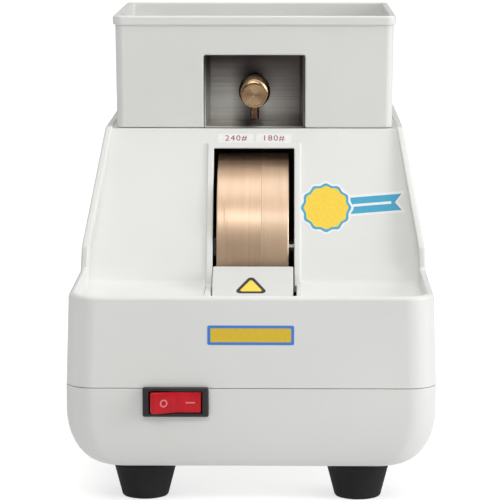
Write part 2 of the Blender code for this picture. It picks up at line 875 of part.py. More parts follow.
# ---------------------------------------------------------------- electrical parts
add("capacitor", rod(14.0, (4, 56, 45.5), (56, 56, 45.5), 20), GREY_PLASTIC, smooth=30)
clip = add("capacitor_clip", box(18, 42, 44, 68, 26.8, 44.0), BLACK_PLASTIC)
cut(clip, "shape_clip_bed", rod(14.35, (0, 56, 45.5), (60, 56, 45.5), 20))

SX, SZ = SWITCH_X, SWITCH_Z
housing = add("switch_housing", box(SX - 13.6, SX + 13.6, -1.0, 24.0, SZ - 5.8, SZ + 5.8), BLACK_PLASTIC)
cut(
    housing,
    "shape_bezel",
    prism(
        [(SX - 15.5, SZ - 5.8), (SX - 14.3, SZ - 7.0), (SX + 14.3, SZ - 7.0), (SX + 15.5, SZ - 5.8), (SX + 15.5, SZ + 5.8), (SX + 14.3, SZ + 7.0), (SX - 14.3, SZ + 7.0), (SX - 15.5, SZ + 5.8)],
        -2.4,
        -0.35,
        "y",
    ),
    "UNION",
)
cut(housing, "shape_rocker_well", box(SX - 12.5, SX + 12.5, -8, 13.5, SZ - 5.2, SZ + 5.2))

PIVOT_Y = 0.6
rocker_points = [(-11.4, -5.0), (0.0, -3.0), (11.4, -5.0), (12.1, 0.0), (10.6, 4.0), (3.0, 6.5), (-3.0, 6.5), (-10.6, 4.0), (-12.1, 0.0)]
turned_points = []
for x, y in rocker_points:
    c, s = math.cos(ROCKER_TILT), math.sin(ROCKER_TILT)
    turned_points.append((SX + x * c - y * s, PIVOT_Y + x * s + y * c))
add(
    "switch_rocker",
    prism(turned_points, SZ - 4.95, SZ + 4.95, "z"),
    RED,
    origin=(SX, PIVOT_Y, SZ),
)
for tag, x in (("line", -9.0), ("load", 0.0), ("lamp", 9.0)):
    add("switch_terminal_" + tag, box(SX + x - 0.4, SX + x + 0.4, 24.3, 33.0, SZ - 2.4, SZ + 2.4), BRASS)

inlet = add("power_inlet", box(INLET_X - 13.4, INLET_X + 13.4, 252, 276.0, INLET_Z - 9.4, INLET_Z + 9.4), BLACK_PLASTIC)
cut(inlet, "shape_inlet_flange", box(INLET_X - 16, INLET_X + 16, 275.35, 277.6, INLET_Z - 12, INLET_Z + 12), "UNION")
cut(
    inlet,
    "shape_inlet_socket",
    prism(
        [(INLET_X - 11.6, INLET_Z - 7.8), (INLET_X + 11.6, INLET_Z - 7.8), (INLET_X + 11.6, INLET_Z + 3.0), (INLET_X + 7.0, INLET_Z + 7.8), (INLET_X - 7.0, INLET_Z + 7.8), (INLET_X - 11.6, INLET_Z + 3.0)],
        259,
        285,
        "y",
    ),
)
for tag, x, z in (("line", -7.0, -1.5), ("earth", 0.0, 2.5), ("neutral", 7.0, -1.5)):
    add("inlet_pin_" + tag, box(INLET_X + x - 1.0, INLET_X + x + 1.0, 259.35, 272.0, INLET_Z + z - 2.0, INLET_Z + z + 2.0), BRASS)


# ---------------------------------------------------------------- internal leads
def lead(name, points, r):
    """A tube along a smooth curve through the given points."""
    pts = [Vector(p) for p in points]
    fine = []
    for i in range(len(pts) - 1):
        a, b = pts[max(i - 1, 0)], pts[i]
        c, d = pts[i + 1], pts[min(i + 2, len(pts) - 1)]
        for k in range(4):
            t = k / 4.0
            fine.append(
                0.5 * ((2 * b) + (c - a) * t + (2 * a - 5 * b + 4 * c - d) * t * t + (3 * b - a - 3 * c + d) * t * t * t)
            )
    fine.append(pts[-1])
    curve = bpy.data.curves.new(name, "CURVE")
    curve.dimensions = "3D"
    curve.bevel_depth = r * MM
    curve.bevel_resolution = 2
    curve.use_fill_caps = True
    spline = curve.splines.new("POLY")
    spline.points.add(len(fine) - 1)
    for point, p in zip(spline.points, fine):
        q = put(p)
        point.co = (q.x, q.y, q.z, 1.0)
    curve.materials.append(material(name + "_mat", (0.02, 0.02, 0.022), 0.5))
    obj = bpy.data.objects.new(name, curve)
    bpy.context.scene.collection.objects.link(obj)
    return obj


lead(
    "mains_lead",
    [(-60, 251.3, 40), (-60, 244, 40), (-61, 200, 38), (-62, 130, 37), (-60, 75, 38), (-48, 48, 46), (SX - 8.8, 38, SZ), (SX - 8.8, 34.2, SZ)],
    2.2,
)
lead(
    "motor_lead",
    [(SX + 0.2, 34.4, SZ), (SX + 0.2, 38, SZ), (-38, 60, 42), (-50, 90, 34), (-52, 150, 32), (-51, 184, 34), (-46, 190, 44), (-39, 194, 52), (-34, 195.5, 56)],
    1.8,
)
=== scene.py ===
"""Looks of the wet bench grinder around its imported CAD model.

Design lengths are in millimetres (X right, Y from the front face back, Z up from the table), and
put() turns them into the frame's metres.
"""

import json
import math

import bmesh
import bpy
from mathutils import Matrix, Vector

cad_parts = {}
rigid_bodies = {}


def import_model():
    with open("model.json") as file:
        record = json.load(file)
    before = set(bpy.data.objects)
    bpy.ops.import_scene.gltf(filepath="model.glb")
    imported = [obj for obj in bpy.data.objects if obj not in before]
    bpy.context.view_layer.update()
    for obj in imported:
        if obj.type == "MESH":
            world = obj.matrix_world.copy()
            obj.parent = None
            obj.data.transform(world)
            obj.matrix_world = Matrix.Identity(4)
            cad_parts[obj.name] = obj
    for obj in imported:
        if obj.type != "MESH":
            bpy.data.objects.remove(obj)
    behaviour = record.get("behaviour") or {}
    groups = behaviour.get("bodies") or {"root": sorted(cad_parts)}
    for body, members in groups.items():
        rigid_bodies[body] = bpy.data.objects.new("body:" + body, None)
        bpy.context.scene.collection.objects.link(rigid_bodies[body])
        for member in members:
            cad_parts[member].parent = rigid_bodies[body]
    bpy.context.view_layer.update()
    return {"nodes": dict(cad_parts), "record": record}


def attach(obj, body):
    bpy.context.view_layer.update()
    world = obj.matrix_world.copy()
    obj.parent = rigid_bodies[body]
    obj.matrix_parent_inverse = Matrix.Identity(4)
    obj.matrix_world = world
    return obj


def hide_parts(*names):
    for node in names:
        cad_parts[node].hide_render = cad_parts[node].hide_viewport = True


for leftover in list(bpy.data.objects):
    bpy.data.objects.remove(leftover, do_unlink=True)
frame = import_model()
NODES = frame["nodes"]
SCENE = bpy.context.scene

MM = 0.001
Y_MID = 0.5 * (-6.3 + 277.6)


def put(p):
    return Vector((p[0] * MM, (p[1] - Y_MID) * MM, p[2] * MM))


# ================================================================ mesh helpers
def obj_from(name, bm, sharp=30.0, flat=False):
    bmesh.ops.recalc_face_normals(bm, faces=bm.faces)
    for v in bm.verts:
        v.co = put(v.co)
    mesh = bpy.data.meshes.new(name)
    bm.to_mesh(mesh)
    bm.free()
    obj = bpy.data.objects.new(name, mesh)
    SCENE.collection.objects.link(obj)
    if not flat:
        mesh.shade_smooth()
        mesh.set_sharp_from_angle(angle=math.radians(sharp))
    return obj


def loft(rings, closed=False):
    bm = bmesh.new()
    loops = [[bm.verts.new(p) for p in ring] for ring in rings]
    count = len(loops[0])
    pairs = list(zip(loops, loops[1:]))
    if closed:
        pairs.append((loops[-1], loops[0]))
    for low, high in pairs:
        for i in range(count):
            j = (i + 1) % count
            bm.faces.new((low[i], low[j], high[j], high[i]))
    if not closed:
        bm.faces.new(list(reversed(loops[0])))
        bm.faces.new(loops[-1])
    return bm


def box(x0, x1, y0, y1, z0, z1):
    return loft([[(x0, y0, z), (x1, y0, z), (x1, y1, z), (x0, y1, z)] for z in (z0, z1)])


def join(*meshes):
    bm = bmesh.new()
    for part in meshes:
        held = bpy.data.meshes.new("held")
        part.to_mesh(held)
        part.free()
        bm.from_mesh(held)
        bpy.data.meshes.remove(held)
    return bm


def prism(points, a0, a1, axis="x"):
    order = {
        "x": lambda a, p: (a, p[0], p[1]),
        "y": lambda a, p: (p[0], a, p[1]),
        "z": lambda a, p: (p[0], p[1], a),
    }[axis]
    return loft([[order(a, p) for p in points] for a in (a0, a1)])


def turned(profile, origin, direction, steps=48, ring=False):
    bm = bmesh.new()
    ahead = Vector(direction).normalized()
    side = ahead.orthogonal().normalized()
    other = ahead.cross(side)
    start = Vector(origin)
    loops = []
    for r, s in profile:
        if r < 1e-6:
            loops.append([bm.verts.new(start + ahead * s)])
            continue
        loops.append(
            [
                bm.verts.new(
                    start
                    + ahead * s
                    + side * (r * math.cos(2 * math.pi * (k + 0.5) / steps))
                    + other * (r * math.sin(2 * math.pi * (k + 0.5) / steps))
                )
                for k in range(steps)
            ]
        )
    pairs = list(zip(loops, loops[1:]))
    if ring:
        pairs.append((loops[-1], loops[0]))
    for a, b in pairs:
        for k in range(steps):
            m = (k + 1) % steps
            if len(a) == 1 and len(b) == 1:
                continue
            if len(a) == 1:
                bm.faces.new((a[0], b[k], b[m]))
            elif len(b) == 1:
                bm.faces.new((a[k], b[0], a[m]))
            else:
                bm.faces.new((a[k], b[k], b[m], a[m]))
    if not ring:
        for loop in (loops[0], loops[-1]):
            if len(loop) > 1:
                bm.faces.new(loop)
    return bm


def rod(r, p0, p1, steps=32):
    a, b = Vector(p0), Vector(p1)
    return turned([(r, 0.0), (r, (b - a).length)], a, b - a, steps)


def rrect(half, y0, y1, r, z, n=10):
    points = []
    corners = (
        (half - r, y0 + r, -90),
        (half - r, y1 - r, 0),
        (-half + r, y1 - r, 90),
        (-half + r, y0 + r, 180),
    )
    for cx, cy, start in corners:
        for k in range(n + 1):
            t = math.radians(start + 90.0 * k / n)
            points.append((cx + r * math.cos(t), cy + r * math.sin(t), z))
    return points


def round_rect(x0, x1, y0, y1, r, n=6):
    """A rounded rectangle as plain (a, b) pairs."""
    points = []
    for cx, cy, start in ((x1 - r, y0 + r, -90), (x1 - r, y1 - r, 0), (x0 + r, y1 - r, 90), (x0 + r, y0 + r, 180)):
        for k in range(n + 1):
            t = math.radians(start + 90.0 * k / n)
            points.append((cx + r * math.cos(t), cy + r * math.sin(t)))
    return points


def between(table, z):
    for (z0, v0), (z1, v1) in zip(table, table[1:]):
        if z <= z1:
            return v0 + (v1 - v0) * (z - z0) / (z1 - z0)
    return table[-1][1]


def boolean(obj, steps):
    """Applies cuts and joins in turn, and removes the tools."""
    tools = []
    for operation, bm in steps:
        tool = obj_from("tool", bm, flat=True)
        tools.append(tool)
        mod = obj.modifiers.new("b", "BOOLEAN")
        mod.operation, mod.solver, mod.object = operation, "EXACT", tool
    bake(obj)
    for tool in tools:
        bpy.data.objects.remove(tool, do_unlink=True)


def bake(obj):
    """The evaluated mesh becomes the object's own mesh."""
    graph = bpy.context.evaluated_depsgraph_get()
    graph.update()
    made = bpy.data.meshes.new_from_object(obj.evaluated_get(graph))
    old = obj.data
    obj.modifiers.clear()
    obj.data = made
    made.name = obj.name
    bpy.data.meshes.remove(old)


def bevelled(obj, weight, width, segments=3, least=25.0):
    """Rounds the sharp edges: weight(middle in design mm, directions) gives 0 to 1 of the width."""
    bm = bmesh.new()
    bm.from_mesh(obj.data)
    bmesh.ops.remove_doubles(bm, verts=bm.verts, dist=2e-6)
    bmesh.ops.dissolve_degenerate(bm, edges=bm.edges, dist=2e-6)
    layer = bm.edges.layers.float.new("bevel_weight_edge")
    for e in bm.edges:
        if len(e.link_faces) != 2 or e.calc_length() < 2e-5:
            continue
        if e.calc_face_angle(0.0) < math.radians(least):
            continue
        m = (e.verts[0].co + e.verts[1].co) / 2
        p = (m.x / MM, m.y / MM + Y_MID, m.z / MM)
        e[layer] = weight(p, e)
    bm.to_mesh(obj.data)
    bm.free()
    mod = obj.modifiers.new("bevel", "BEVEL")
    mod.limit_method = "WEIGHT"
    mod.width = width * MM
    mod.segments = segments
    mod.use_clamp_overlap = False
    mod.harden_normals = False
    mod.miter_outer = "MITER_ARC"
    bake(obj)
    obj.data.shade_smooth()
    obj.data.set_sharp_from_angle(angle=math.radians(48))
    mod = obj.modifiers.new("weighted", "WEIGHTED_NORMAL")
    mod.keep_sharp = True
    mod.weight = 60
    bake(obj)


def shift(obj, matrix):
    obj.data.transform(matrix)


# ================================================================ node materials
def new_material(name, colour, rough, metal=0.0, **sockets):
    m = bpy.data.materials.new(name)
    m.use_nodes = True
    tree = m.node_tree
    shader = tree.nodes["Principled BSDF"]
    shader.inputs["Base Color"].default_value = (*colour, 1.0)
    shader.inputs["Roughness"].default_value = rough
    shader.inputs["Metallic"].default_value = metal
    for key, value in sockets.items():
        shader.inputs[key.replace("_", " ")].default_value = value
    m.diffuse_color = (*colour, 1.0)
    where = tree.nodes.new("ShaderNodeTexCoord")
    return m, tree, shader, where.outputs["Object"]


def noise(tree, where, scale, detail=4.0, rough=0.5, stretch=None, distortion=0.0):
    if stretch:
        mapping = tree.nodes.new("ShaderNodeMapping")
        mapping.inputs["Scale"].default_value = stretch
        tree.links.new(where, mapping.inputs["Vector"])
        where = mapping.outputs["Vector"]
    n = tree.nodes.new("ShaderNodeTexNoise")
    n.inputs["Scale"].default_value = scale
    n.inputs["Detail"].default_value = detail
    n.inputs["Roughness"].default_value = rough
    n.inputs["Distortion"].default_value = distortion
    tree.links.new(where, n.inputs["Vector"])
    return n.outputs["Fac"]


def spread(tree, fac, low, high, from_low=0.3, from_high=0.7):
    r = tree.nodes.new("ShaderNodeMapRange")
    r.inputs["From Min"].default_value = from_low
    r.inputs["From Max"].default_value = from_high
    r.inputs["To Min"].default_value = low
    r.inputs["To Max"].default_value = high
    tree.links.new(fac, r.inputs["Value"])
    return r.outputs["Result"]


def mix(tree, fac, a, b):
    m = tree.nodes.new("ShaderNodeMix")
    m.data_type = "RGBA"
    for socket, value in ((m.inputs["A"], a), (m.inputs["B"], b)):
        if isinstance(value, tuple):
            socket.default_value = (*value, 1.0)
        else:
            tree.links.new(value, socket)
    if isinstance(fac, float):
        m.inputs["Factor"].default_value = fac
    else:
        tree.links.new(fac, m.inputs["Factor"])
    return m.outputs["Result"]


def bump(tree, shader, heights, strength=0.3, distance=0.00005):
    """Bump nodes in a row, one per (height, strength, distance)."""
    last = None
    for height, s, d in heights:
        b = tree.nodes.new("ShaderNodeBump")
        b.inputs["Strength"].default_value = s
        b.inputs["Distance"].default_value = d
        tree.links.new(height, b.inputs["Height"])
        if last is not None:
            tree.links.new(last, b.inputs["Normal"])
        last = b.outputs["Normal"]
    tree.links.new(last, shader.inputs["Normal"])


def scaled(colour, k):
    return tuple(min(1.0, c * k) for c in colour)


def moulded(name, colour, rough, grain=0.1, blotch=0.03, wear=0.06, coat=0.0):
    """Moulded plastic: fine spark-eroded grain, slow colour drift, faint scuffs and lighter edges."""
    m, tree, shader, where = new_material(name, colour, rough, Coat_Weight=coat, Coat_Roughness=0.25)
    slow = noise(tree, where, 14.0, 3.0)
    drift = mix(tree, spread(tree, slow, 0.0, 1.0), scaled(colour, 1.0 - blotch), scaled(colour, 1.0 + blotch * 0.7))
    geometry = tree.nodes.new("ShaderNodeNewGeometry")
    edge = spread(tree, geometry.outputs["Pointiness"], 0.0, wear, 0.52, 0.62)
    tone = mix(tree, edge, drift, scaled(colour, 1.18))
    scuff = noise(tree, where, 60.0, 6.0, 0.65, stretch=(1.0, 0.4, 3.0))
    speck = spread(tree, scuff, 0.0, 0.045, 0.62, 0.74)
    tree.links.new(mix(tree, speck, tone, scaled(colour, 0.72)), shader.inputs["Base Color"])
    fine = noise(tree, where, 2600.0, 2.0)
    tree.links.new(spread(tree, noise(tree, where, 90.0, 5.0), rough - 0.05, rough + 0.07), shader.inputs["Roughness"])
    peel = noise(tree, where, 120.0, 2.0)
    bump(tree, shader, ((fine, grain, 0.00004), (peel, 0.12, 0.00006)))
    return m


def brushed(name, colour, rough, stretch, streak=0.18, dark=0.7, aniso=0.0, base_scale=1.0, stain=0.25):
    """Metal with fine lines along one direction, soft stains and small pits."""
    m, tree, shader, where = new_material(name, colour, rough, 1.0, Anisotropic=aniso)
    lines = noise(tree, where, base_scale, 5.0, 0.6, stretch=stretch)
    tint = mix(tree, spread(tree, lines, 0.0, 1.0, 0.32, 0.68), scaled(colour, 1.0 - streak), scaled(colour, 1.0 + streak * 0.6))
    patches = noise(tree, where, 55.0, 4.0, 0.6)
    tree.links.new(mix(tree, spread(tree, patches, 0.0, stain, 0.45, 0.75), tint, scaled(colour, dark)), shader.inputs["Base Color"])
    tree.links.new(spread(tree, lines, rough - 0.07, rough + 0.1, 0.3, 0.7), shader.inputs["Roughness"])
    pits = noise(tree, where, 1400.0, 3.0)
    bump(tree, shader, ((lines, 0.16, 0.00003), (pits, 0.08, 0.00002)))
    return m


def rubber(name, colour, rough=0.75):
    m, tree, shader, where = new_material(name, colour, rough, Specular_IOR_Level=0.35)
    dust = noise(tree, where, 70.0, 6.0, 0.6)
    tree.links.new(
        mix(tree, spread(tree, dust, 0.0, 0.35, 0.48, 0.75), scaled(colour, 0.85), tuple(c + 0.028 for c in colour)),
        shader.inputs["Base Color"],
    )
    tree.links.new(spread(tree, dust, rough - 0.12, rough + 0.1), shader.inputs["Roughness"])
    fine = noise(tree, where, 1800.0, 3.0)
    bump(tree, shader, ((fine, 0.25, 0.00006), (dust, 0.15, 0.00008)))
    return m


WHITE = (0.80, 0.808, 0.785)
MAT = {
    "upper_shell": moulded("abs_white_shell", WHITE, 0.40),
    "base_tub": moulded("abs_white_base", scaled(WHITE, 0.985), 0.42),
    "water_tank": moulded("abs_white_tank", scaled(WHITE, 0.975), 0.38),
    "wheel_guard": moulded("abs_white_guard", scaled(WHITE, 0.88), 0.42),
    "foot_rubber": rubber("foot_rubber", (0.0125, 0.0112, 0.012)),
    "fastener_steel": brushed("zinc_screw", (0.58, 0.59, 0.57), 0.34, (300, 300, 900)),
    "brass": brushed("aged_brass", (0.17, 0.095, 0.055), 0.3, (500, 90, 500), streak=0.14, dark=0.55, stain=0.4),
    "hub_aluminium": brushed("cast_aluminium", (0.66, 0.665, 0.68), 0.4, (1200, 160, 160)),
    "cast": moulded("grey_casting", (0.085, 0.09, 0.095), 0.55, grain=0.35),
    "steel": brushed("ground_steel", (0.56, 0.57, 0.58), 0.3, (1500, 140, 140)),
    "belt_rubber": rubber("belt_rubber", (0.022, 0.022, 0.023), 0.7),
    # the inner parts' dark grey is partly their own colour and partly painted shade, so the gaps round the wheel read
    # dark
    "grey_plastic": moulded("dark_grey_plastic", (0.10, 0.088, 0.08), 0.5, grain=0.2),
    "black_plastic": moulded("black_plastic", (0.017, 0.0145, 0.0155), 0.42, grain=0.22),
    "winding": brushed("winding", (0.38, 0.17, 0.08), 0.45, (60, 700, 700), streak=0.4),
    "lead": moulded("lead_insulation", (0.025, 0.025, 0.028), 0.5),
}


def red_plastic():
    colour = (0.55, 0.006, 0.014)
    m, tree, shader, where = new_material("rocker_red", colour, 0.24, Coat_Weight=0.12, Coat_Roughness=0.1, Subsurface_Weight=0.12, Specular_IOR_Level=0.22)
    shader.inputs["Subsurface Radius"].default_value = (0.004, 0.0006, 0.0006)
    shader.inputs["Subsurface Scale"].default_value = 0.5
    cloud = noise(tree, where, 120.0, 3.0)
    tree.links.new(mix(tree, spread(tree, cloud, 0.0, 1.0), scaled(colour, 0.86), scaled(colour, 1.12)), shader.inputs["Base Color"])
    tree.links.new(spread(tree, noise(tree, where, 300.0, 4.0), 0.17, 0.27), shader.inputs["Roughness"])
    bump(tree, shader, ((noise(tree, where, 2200.0, 2.0), 0.08, 0.00003),))
    return m


MAT["red_plastic"] = red_plastic()


def plate_steel():
    """Thin stainless sheet, brushed along X, with painted shade: dark at the top, pale towards the bottom, darker on
    the right, and a painted shadow of the tap down the middle.
    """
    m, tree, shader, where = new_material("stainless_painted_shade", (0.2, 0.18, 0.17), 0.34, 1.0)
    split = tree.nodes.new("ShaderNodeSeparateXYZ")
    tree.links.new(where, split.inputs["Vector"])
    lines = noise(tree, where, 1.0, 5.0, 0.6, stretch=(9, 500, 1300))
    # painted shade: the plate dark at the top and pale at the bottom, the edge between wobbled by cloud noise
    cloud = noise(tree, where, 30.0, 3.0, 0.5, stretch=(1.0, 1.0, 2.2))
    drift = tree.nodes.new("ShaderNodeMath")
    drift.operation = "MULTIPLY_ADD"
    tree.links.new(cloud, drift.inputs[0])
    drift.inputs[1].default_value = 0.008
    tree.links.new(split.outputs["Z"], drift.inputs[2])
    height = spread(tree, drift.outputs["Value"], 1.0, 0.0, 0.1745, 0.2035)
    tone = mix(tree, height, (0.075, 0.062, 0.058), (0.86, 0.84, 0.79))
    # painted shade on the right side of the plate
    right = spread(tree, split.outputs["X"], 0.0, 0.9, 0.004, 0.026)
    tone = mix(tree, right, tone, (0.13, 0.112, 0.10))
    # painted shadow of the tap: a dark band a little left of the middle
    wide = tree.nodes.new("ShaderNodeMath")
    wide.operation = "ABSOLUTE"
    shifted = tree.nodes.new("ShaderNodeMath")
    shifted.operation = "ADD"
    tree.links.new(split.outputs["X"], shifted.inputs[0])
    shifted.inputs[1].default_value = 0.0035
    tree.links.new(shifted.outputs["Value"], wide.inputs[0])
    middle = spread(tree, wide.outputs["Value"], 0.75, 0.0, 0.001, 0.009)
    tone = mix(tree, middle, tone, (0.062, 0.045, 0.05))
    tone = mix(tree, spread(tree, lines, 0.0, 0.16, 0.35, 0.68), tone, (0.03, 0.026, 0.025))
    tree.links.new(tone, shader.inputs["Base Color"])
    tree.links.new(spread(tree, lines, 0.28, 0.42, 0.3, 0.7), shader.inputs["Roughness"])
    bump(tree, shader, ((lines, 0.05, 0.00002), (noise(tree, where, 1400.0, 3.0), 0.04, 0.00001)))
    return m


MAT["plate_steel"] = plate_steel()


def turned_brass():
    """Brass faced on a lathe: fine marks around the knob's axis, which runs nearly along Y."""
    colour = (0.46, 0.31, 0.185)
    m, tree, shader, where = new_material("turned_brass", colour, 0.27, 1.0, Anisotropic=0.82)
    ring = tree.nodes.new("ShaderNodeTangent")
    ring.direction_type, ring.axis = "RADIAL", "Y"
    tree.links.new(ring.outputs["Tangent"], shader.inputs["Tangent"])
    marks = tree.nodes.new("ShaderNodeTexWave")
    marks.wave_type, marks.rings_direction = "RINGS", "Y"
    marks.inputs["Scale"].default_value = 420.0
    marks.inputs["Distortion"].default_value = 1.4
    marks.inputs["Detail"].default_value = 3.0
    centred = tree.nodes.new("ShaderNodeMapping")
    centred.inputs["Location"].default_value = (0.0, 0.0, -0.1834)
    tree.links.new(where, centred.inputs["Vector"])
    tree.links.new(centred.outputs["Vector"], marks.inputs["Vector"])
    tone = mix(tree, spread(tree, marks.outputs["Fac"], 0.0, 1.0, 0.0, 1.0), scaled(colour, 0.9), scaled(colour, 1.1))
    # painted reflection: darker sectors left and right of the axis, the bow-tie that a lathe-turned face shows under
    # studio lights
    axes = tree.nodes.new("ShaderNodeSeparateXYZ")
    tree.links.new(centred.outputs["Vector"], axes.inputs["Vector"])
    turn = tree.nodes.new("ShaderNodeMath")
    turn.operation = "ARCTAN2"
    tree.links.new(axes.outputs["Z"], turn.inputs[0])
    tree.links.new(axes.outputs["X"], turn.inputs[1])
    lobes = tree.nodes.new("ShaderNodeMath")
    lobes.operation = "MULTIPLY_ADD"
    lobes.inputs[1].default_value, lobes.inputs[2].default_value = 2.0, 0.35
    tree.links.new(turn.outputs[0], lobes.inputs[0])
    wave = tree.nodes.new("ShaderNodeMath")
    wave.operation = "COSINE"
    tree.links.new(lobes.outputs[0], wave.inputs[0])
    tone = mix(tree, spread(tree, wave.outputs[0], 0.0, 0.62, -0.35, 0.95), tone, (0.17, 0.095, 0.055))
    grime = noise(tree, where, 160.0, 4.0, 0.6)
    tone = mix(tree, spread(tree, grime, 0.0, 0.3, 0.5, 0.72), tone, (0.16, 0.09, 0.05))
    tree.links.new(tone, shader.inputs["Base Color"])
    tree.links.new(spread(tree, grime, 0.23, 0.33), shader.inputs["Roughness"])
    bump(tree, shader, ((marks.outputs["Fac"], 0.06, 0.00002),))
    return m


MAT["turned_brass"] = turned_brass()


def bonded_bronze(name, colour, rough, grit):
    """The wheel's face: sintered bronze bond, worn round and round, with diamond grit standing in it."""
    m, tree, shader, where = new_material(name, colour, rough, 0.6, Coat_Weight=0.9, Coat_Roughness=0.24)
    rings = noise(tree, where, 1.0, 5.0, 0.65, stretch=(1900, 9, 9))
    wide = noise(tree, where, 1.0, 3.0, 0.5, stretch=(330, 16, 16))
    tone = mix(tree, spread(tree, rings, 0.0, 1.0, 0.3, 0.7), scaled(colour, 0.93), scaled(colour, 1.06))
    tone = mix(tree, spread(tree, wide, 0.0, 0.22, 0.45, 0.72), tone, (0.50, 0.31, 0.20))
    cell = tree.nodes.new("ShaderNodeTexVoronoi")
    cell.inputs["Scale"].default_value = grit
    tree.links.new(where, cell.inputs["Vector"])
    spark = spread(tree, cell.outputs["Distance"], 0.35, 0.0, 0.05, 0.32)
    tree.links.new(mix(tree, spark, tone, (0.80, 0.68, 0.52)), shader.inputs["Base Color"])
    tree.links.new(spread(tree, rings, rough - 0.03, rough + 0.05, 0.3, 0.7), shader.inputs["Roughness"])
    bump(tree, shader, ((rings, 0.06, 0.00003), (cell.outputs["Distance"], 0.16, 0.00003)))
    return m


MAT["wheel_fine"] = bonded_bronze("bronze_fine", (0.72, 0.50, 0.335), 0.38, 1500.0)
MAT["wheel_coarse"] = bonded_bronze("bronze_coarse", (0.73, 0.52, 0.35), 0.46, 900.0)


def printed(name, colour, rough=0.35, fibre=0.05):
    m, tree, shader, where = new_material(name, colour, rough, Coat_Weight=0.25, Coat_Roughness=0.2)
    paper = noise(tree, where, 900.0, 4.0)
    tree.links.new(mix(tree, spread(tree, paper, 0.0, 1.0), scaled(colour, 1.0 - fibre), scaled(colour, 1.0 + fibre)), shader.inputs["Base Color"])
    tree.links.new(spread(tree, noise(tree, where, 200.0, 3.0), rough - 0.05, rough + 0.08), shader.inputs["Roughness"])
    bump(tree, shader, ((paper, 0.12, 0.00002),))
    return m


INK = {
    "white": printed("label_white", (0.90, 0.90, 0.895)),
    "red": printed("label_red_ink", (0.33, 0.02, 0.045)),
    "yellow": printed("label_yellow", (0.90, 0.68, 0.04)),
    "amber": printed("label_amber", (0.76, 0.52, 0.02)),
    "gold": printed("label_gold", (0.98, 0.66, 0.03)),
    "blue": printed("label_blue", (0.04, 0.22, 0.72)),
    "cyan": printed("label_cyan", (0.03, 0.38, 0.60)),
    "dark": printed("label_dark", (0.016, 0.011, 0.008), 0.6),
    "pink": printed("mark_pink", (0.85, 0.22, 0.24)),
}


def dress(obj, material):
    obj.data.materials.clear()
    obj.data.materials.append(material)


def settle(obj, body, material, nodes=()):
    dress(obj, material)
    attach(obj, body)
    if nodes:
        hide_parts(*nodes)
    return obj


# the carried-over CAD nodes take their finish from their slots
SLOT = {entry["node"]: entry["material_slot"] for entry in frame["record"]["subparts"]}
for name, node in NODES.items():
    look = MAT.get(SLOT.get(name), MAT["grey_plastic"])
    if SLOT.get(name) == "wheel_bronze":
        look = MAT["wheel_fine"]
    for i in range(len(node.data.materials)):
        node.data.materials[i] = look
    if not node.data.materials:
        node.data.materials.append(look)

# ================================================================ driving sizes, as in the design
PARTING_Z, BASE_Z, RIM_Z, TRAY_Z, DECK_Z, DECK_RIM_Z = 57.3, 18.2, 100.8, 92.0, 166.0, 167.2
HALF_PARTING, BODY_DEPTH, WALL, LIP, PLAN_R = 87.5, 275.0, 3.0, 3.3, 14.0
SLOPE_FOOT, SLOPE_TOP = (88.0, 92.0), (133.0, 166.0)
WHEEL_Y, WHEEL_Z, WHEEL_R, WHEEL_HALF, GRIT_SPLIT_X = 146.8, 101.9, 50.0, 17.75, 3.9
SLOT_HALF, BORDER, BORDER_RISE, SLOT_LENGTH, SLOT_FOOT_Y = 20.5, 3.2, 1.2, 75.2, 48.0
TANK_HALF, T0, T1, TANK_TOP, TANK_BOTTOM, TANK_WALL = 71.3, 136.0, 261.0, 223.6, 166.3, 2.5
NICHE_HALF, NICHE_TOP, NICHE_BACK = 26.0, 203.5, 165.0
SHANK_Z = 187.0
SX, SZ = -35.2, 51.0
INLET_X, INLET_Z = -64.0, 40.0
SEAM = 0.13  # half of the parting line
FOOT_X, FOOT_Y, FOOT_TOP = 51.0, (27.0, 240.0), 17.9
ARC_X, ARC_Y, ARC_Z = 19.0, 9.0, 27.0

HALF_AT = ((PARTING_Z, HALF_PARTING), (RIM_Z, 86.2), (111.0, 85.8), (DECK_Z, 76.4), (230.0, 65.4))
FRONT_AT = ((PARTING_Z, 0.0), (RIM_Z, 0.8), (230.0, 0.8))
BACK_AT = ((PARTING_Z, BODY_DEPTH), (RIM_Z, 274.0), (DECK_Z, 271.5), (230.0, 268.0))
SLOPE = Vector((0.0, SLOPE_TOP[0] - SLOPE_FOOT[0], SLOPE_TOP[1] - SLOPE_FOOT[1])).normalized()
OUTWARD = Vector((0.0, -SLOPE.z, SLOPE.y))


def shell_ring(z, inset, n=12):
    return rrect(
        between(HALF_AT, z) - inset,
        between(FRONT_AT, z) + inset,
        between(BACK_AT, z) - inset,
        PLAN_R - inset,
        z,
        n,
    )


def on_slope(along, out):
    p = Vector((0.0, SLOPE_FOOT[0], SLOPE_FOOT[1])) + SLOPE * along + OUTWARD * out
    return (p.y, p.z)


# ================================================================ upper shell
def foot_arc(r, n=8):
    """The hollow rounding where the tray turns up into the slope, as (y, z) points."""
    turn = math.atan2(SLOPE.z, SLOPE.y)
    run = r * math.tan(turn / 2)
    cy, cz = SLOPE_FOOT[0] - run, SLOPE_FOOT[1] + r
    return [(cy + r * math.sin(turn * k / n), cz - r * math.cos(turn * k / n)) for k in range(n + 1)]


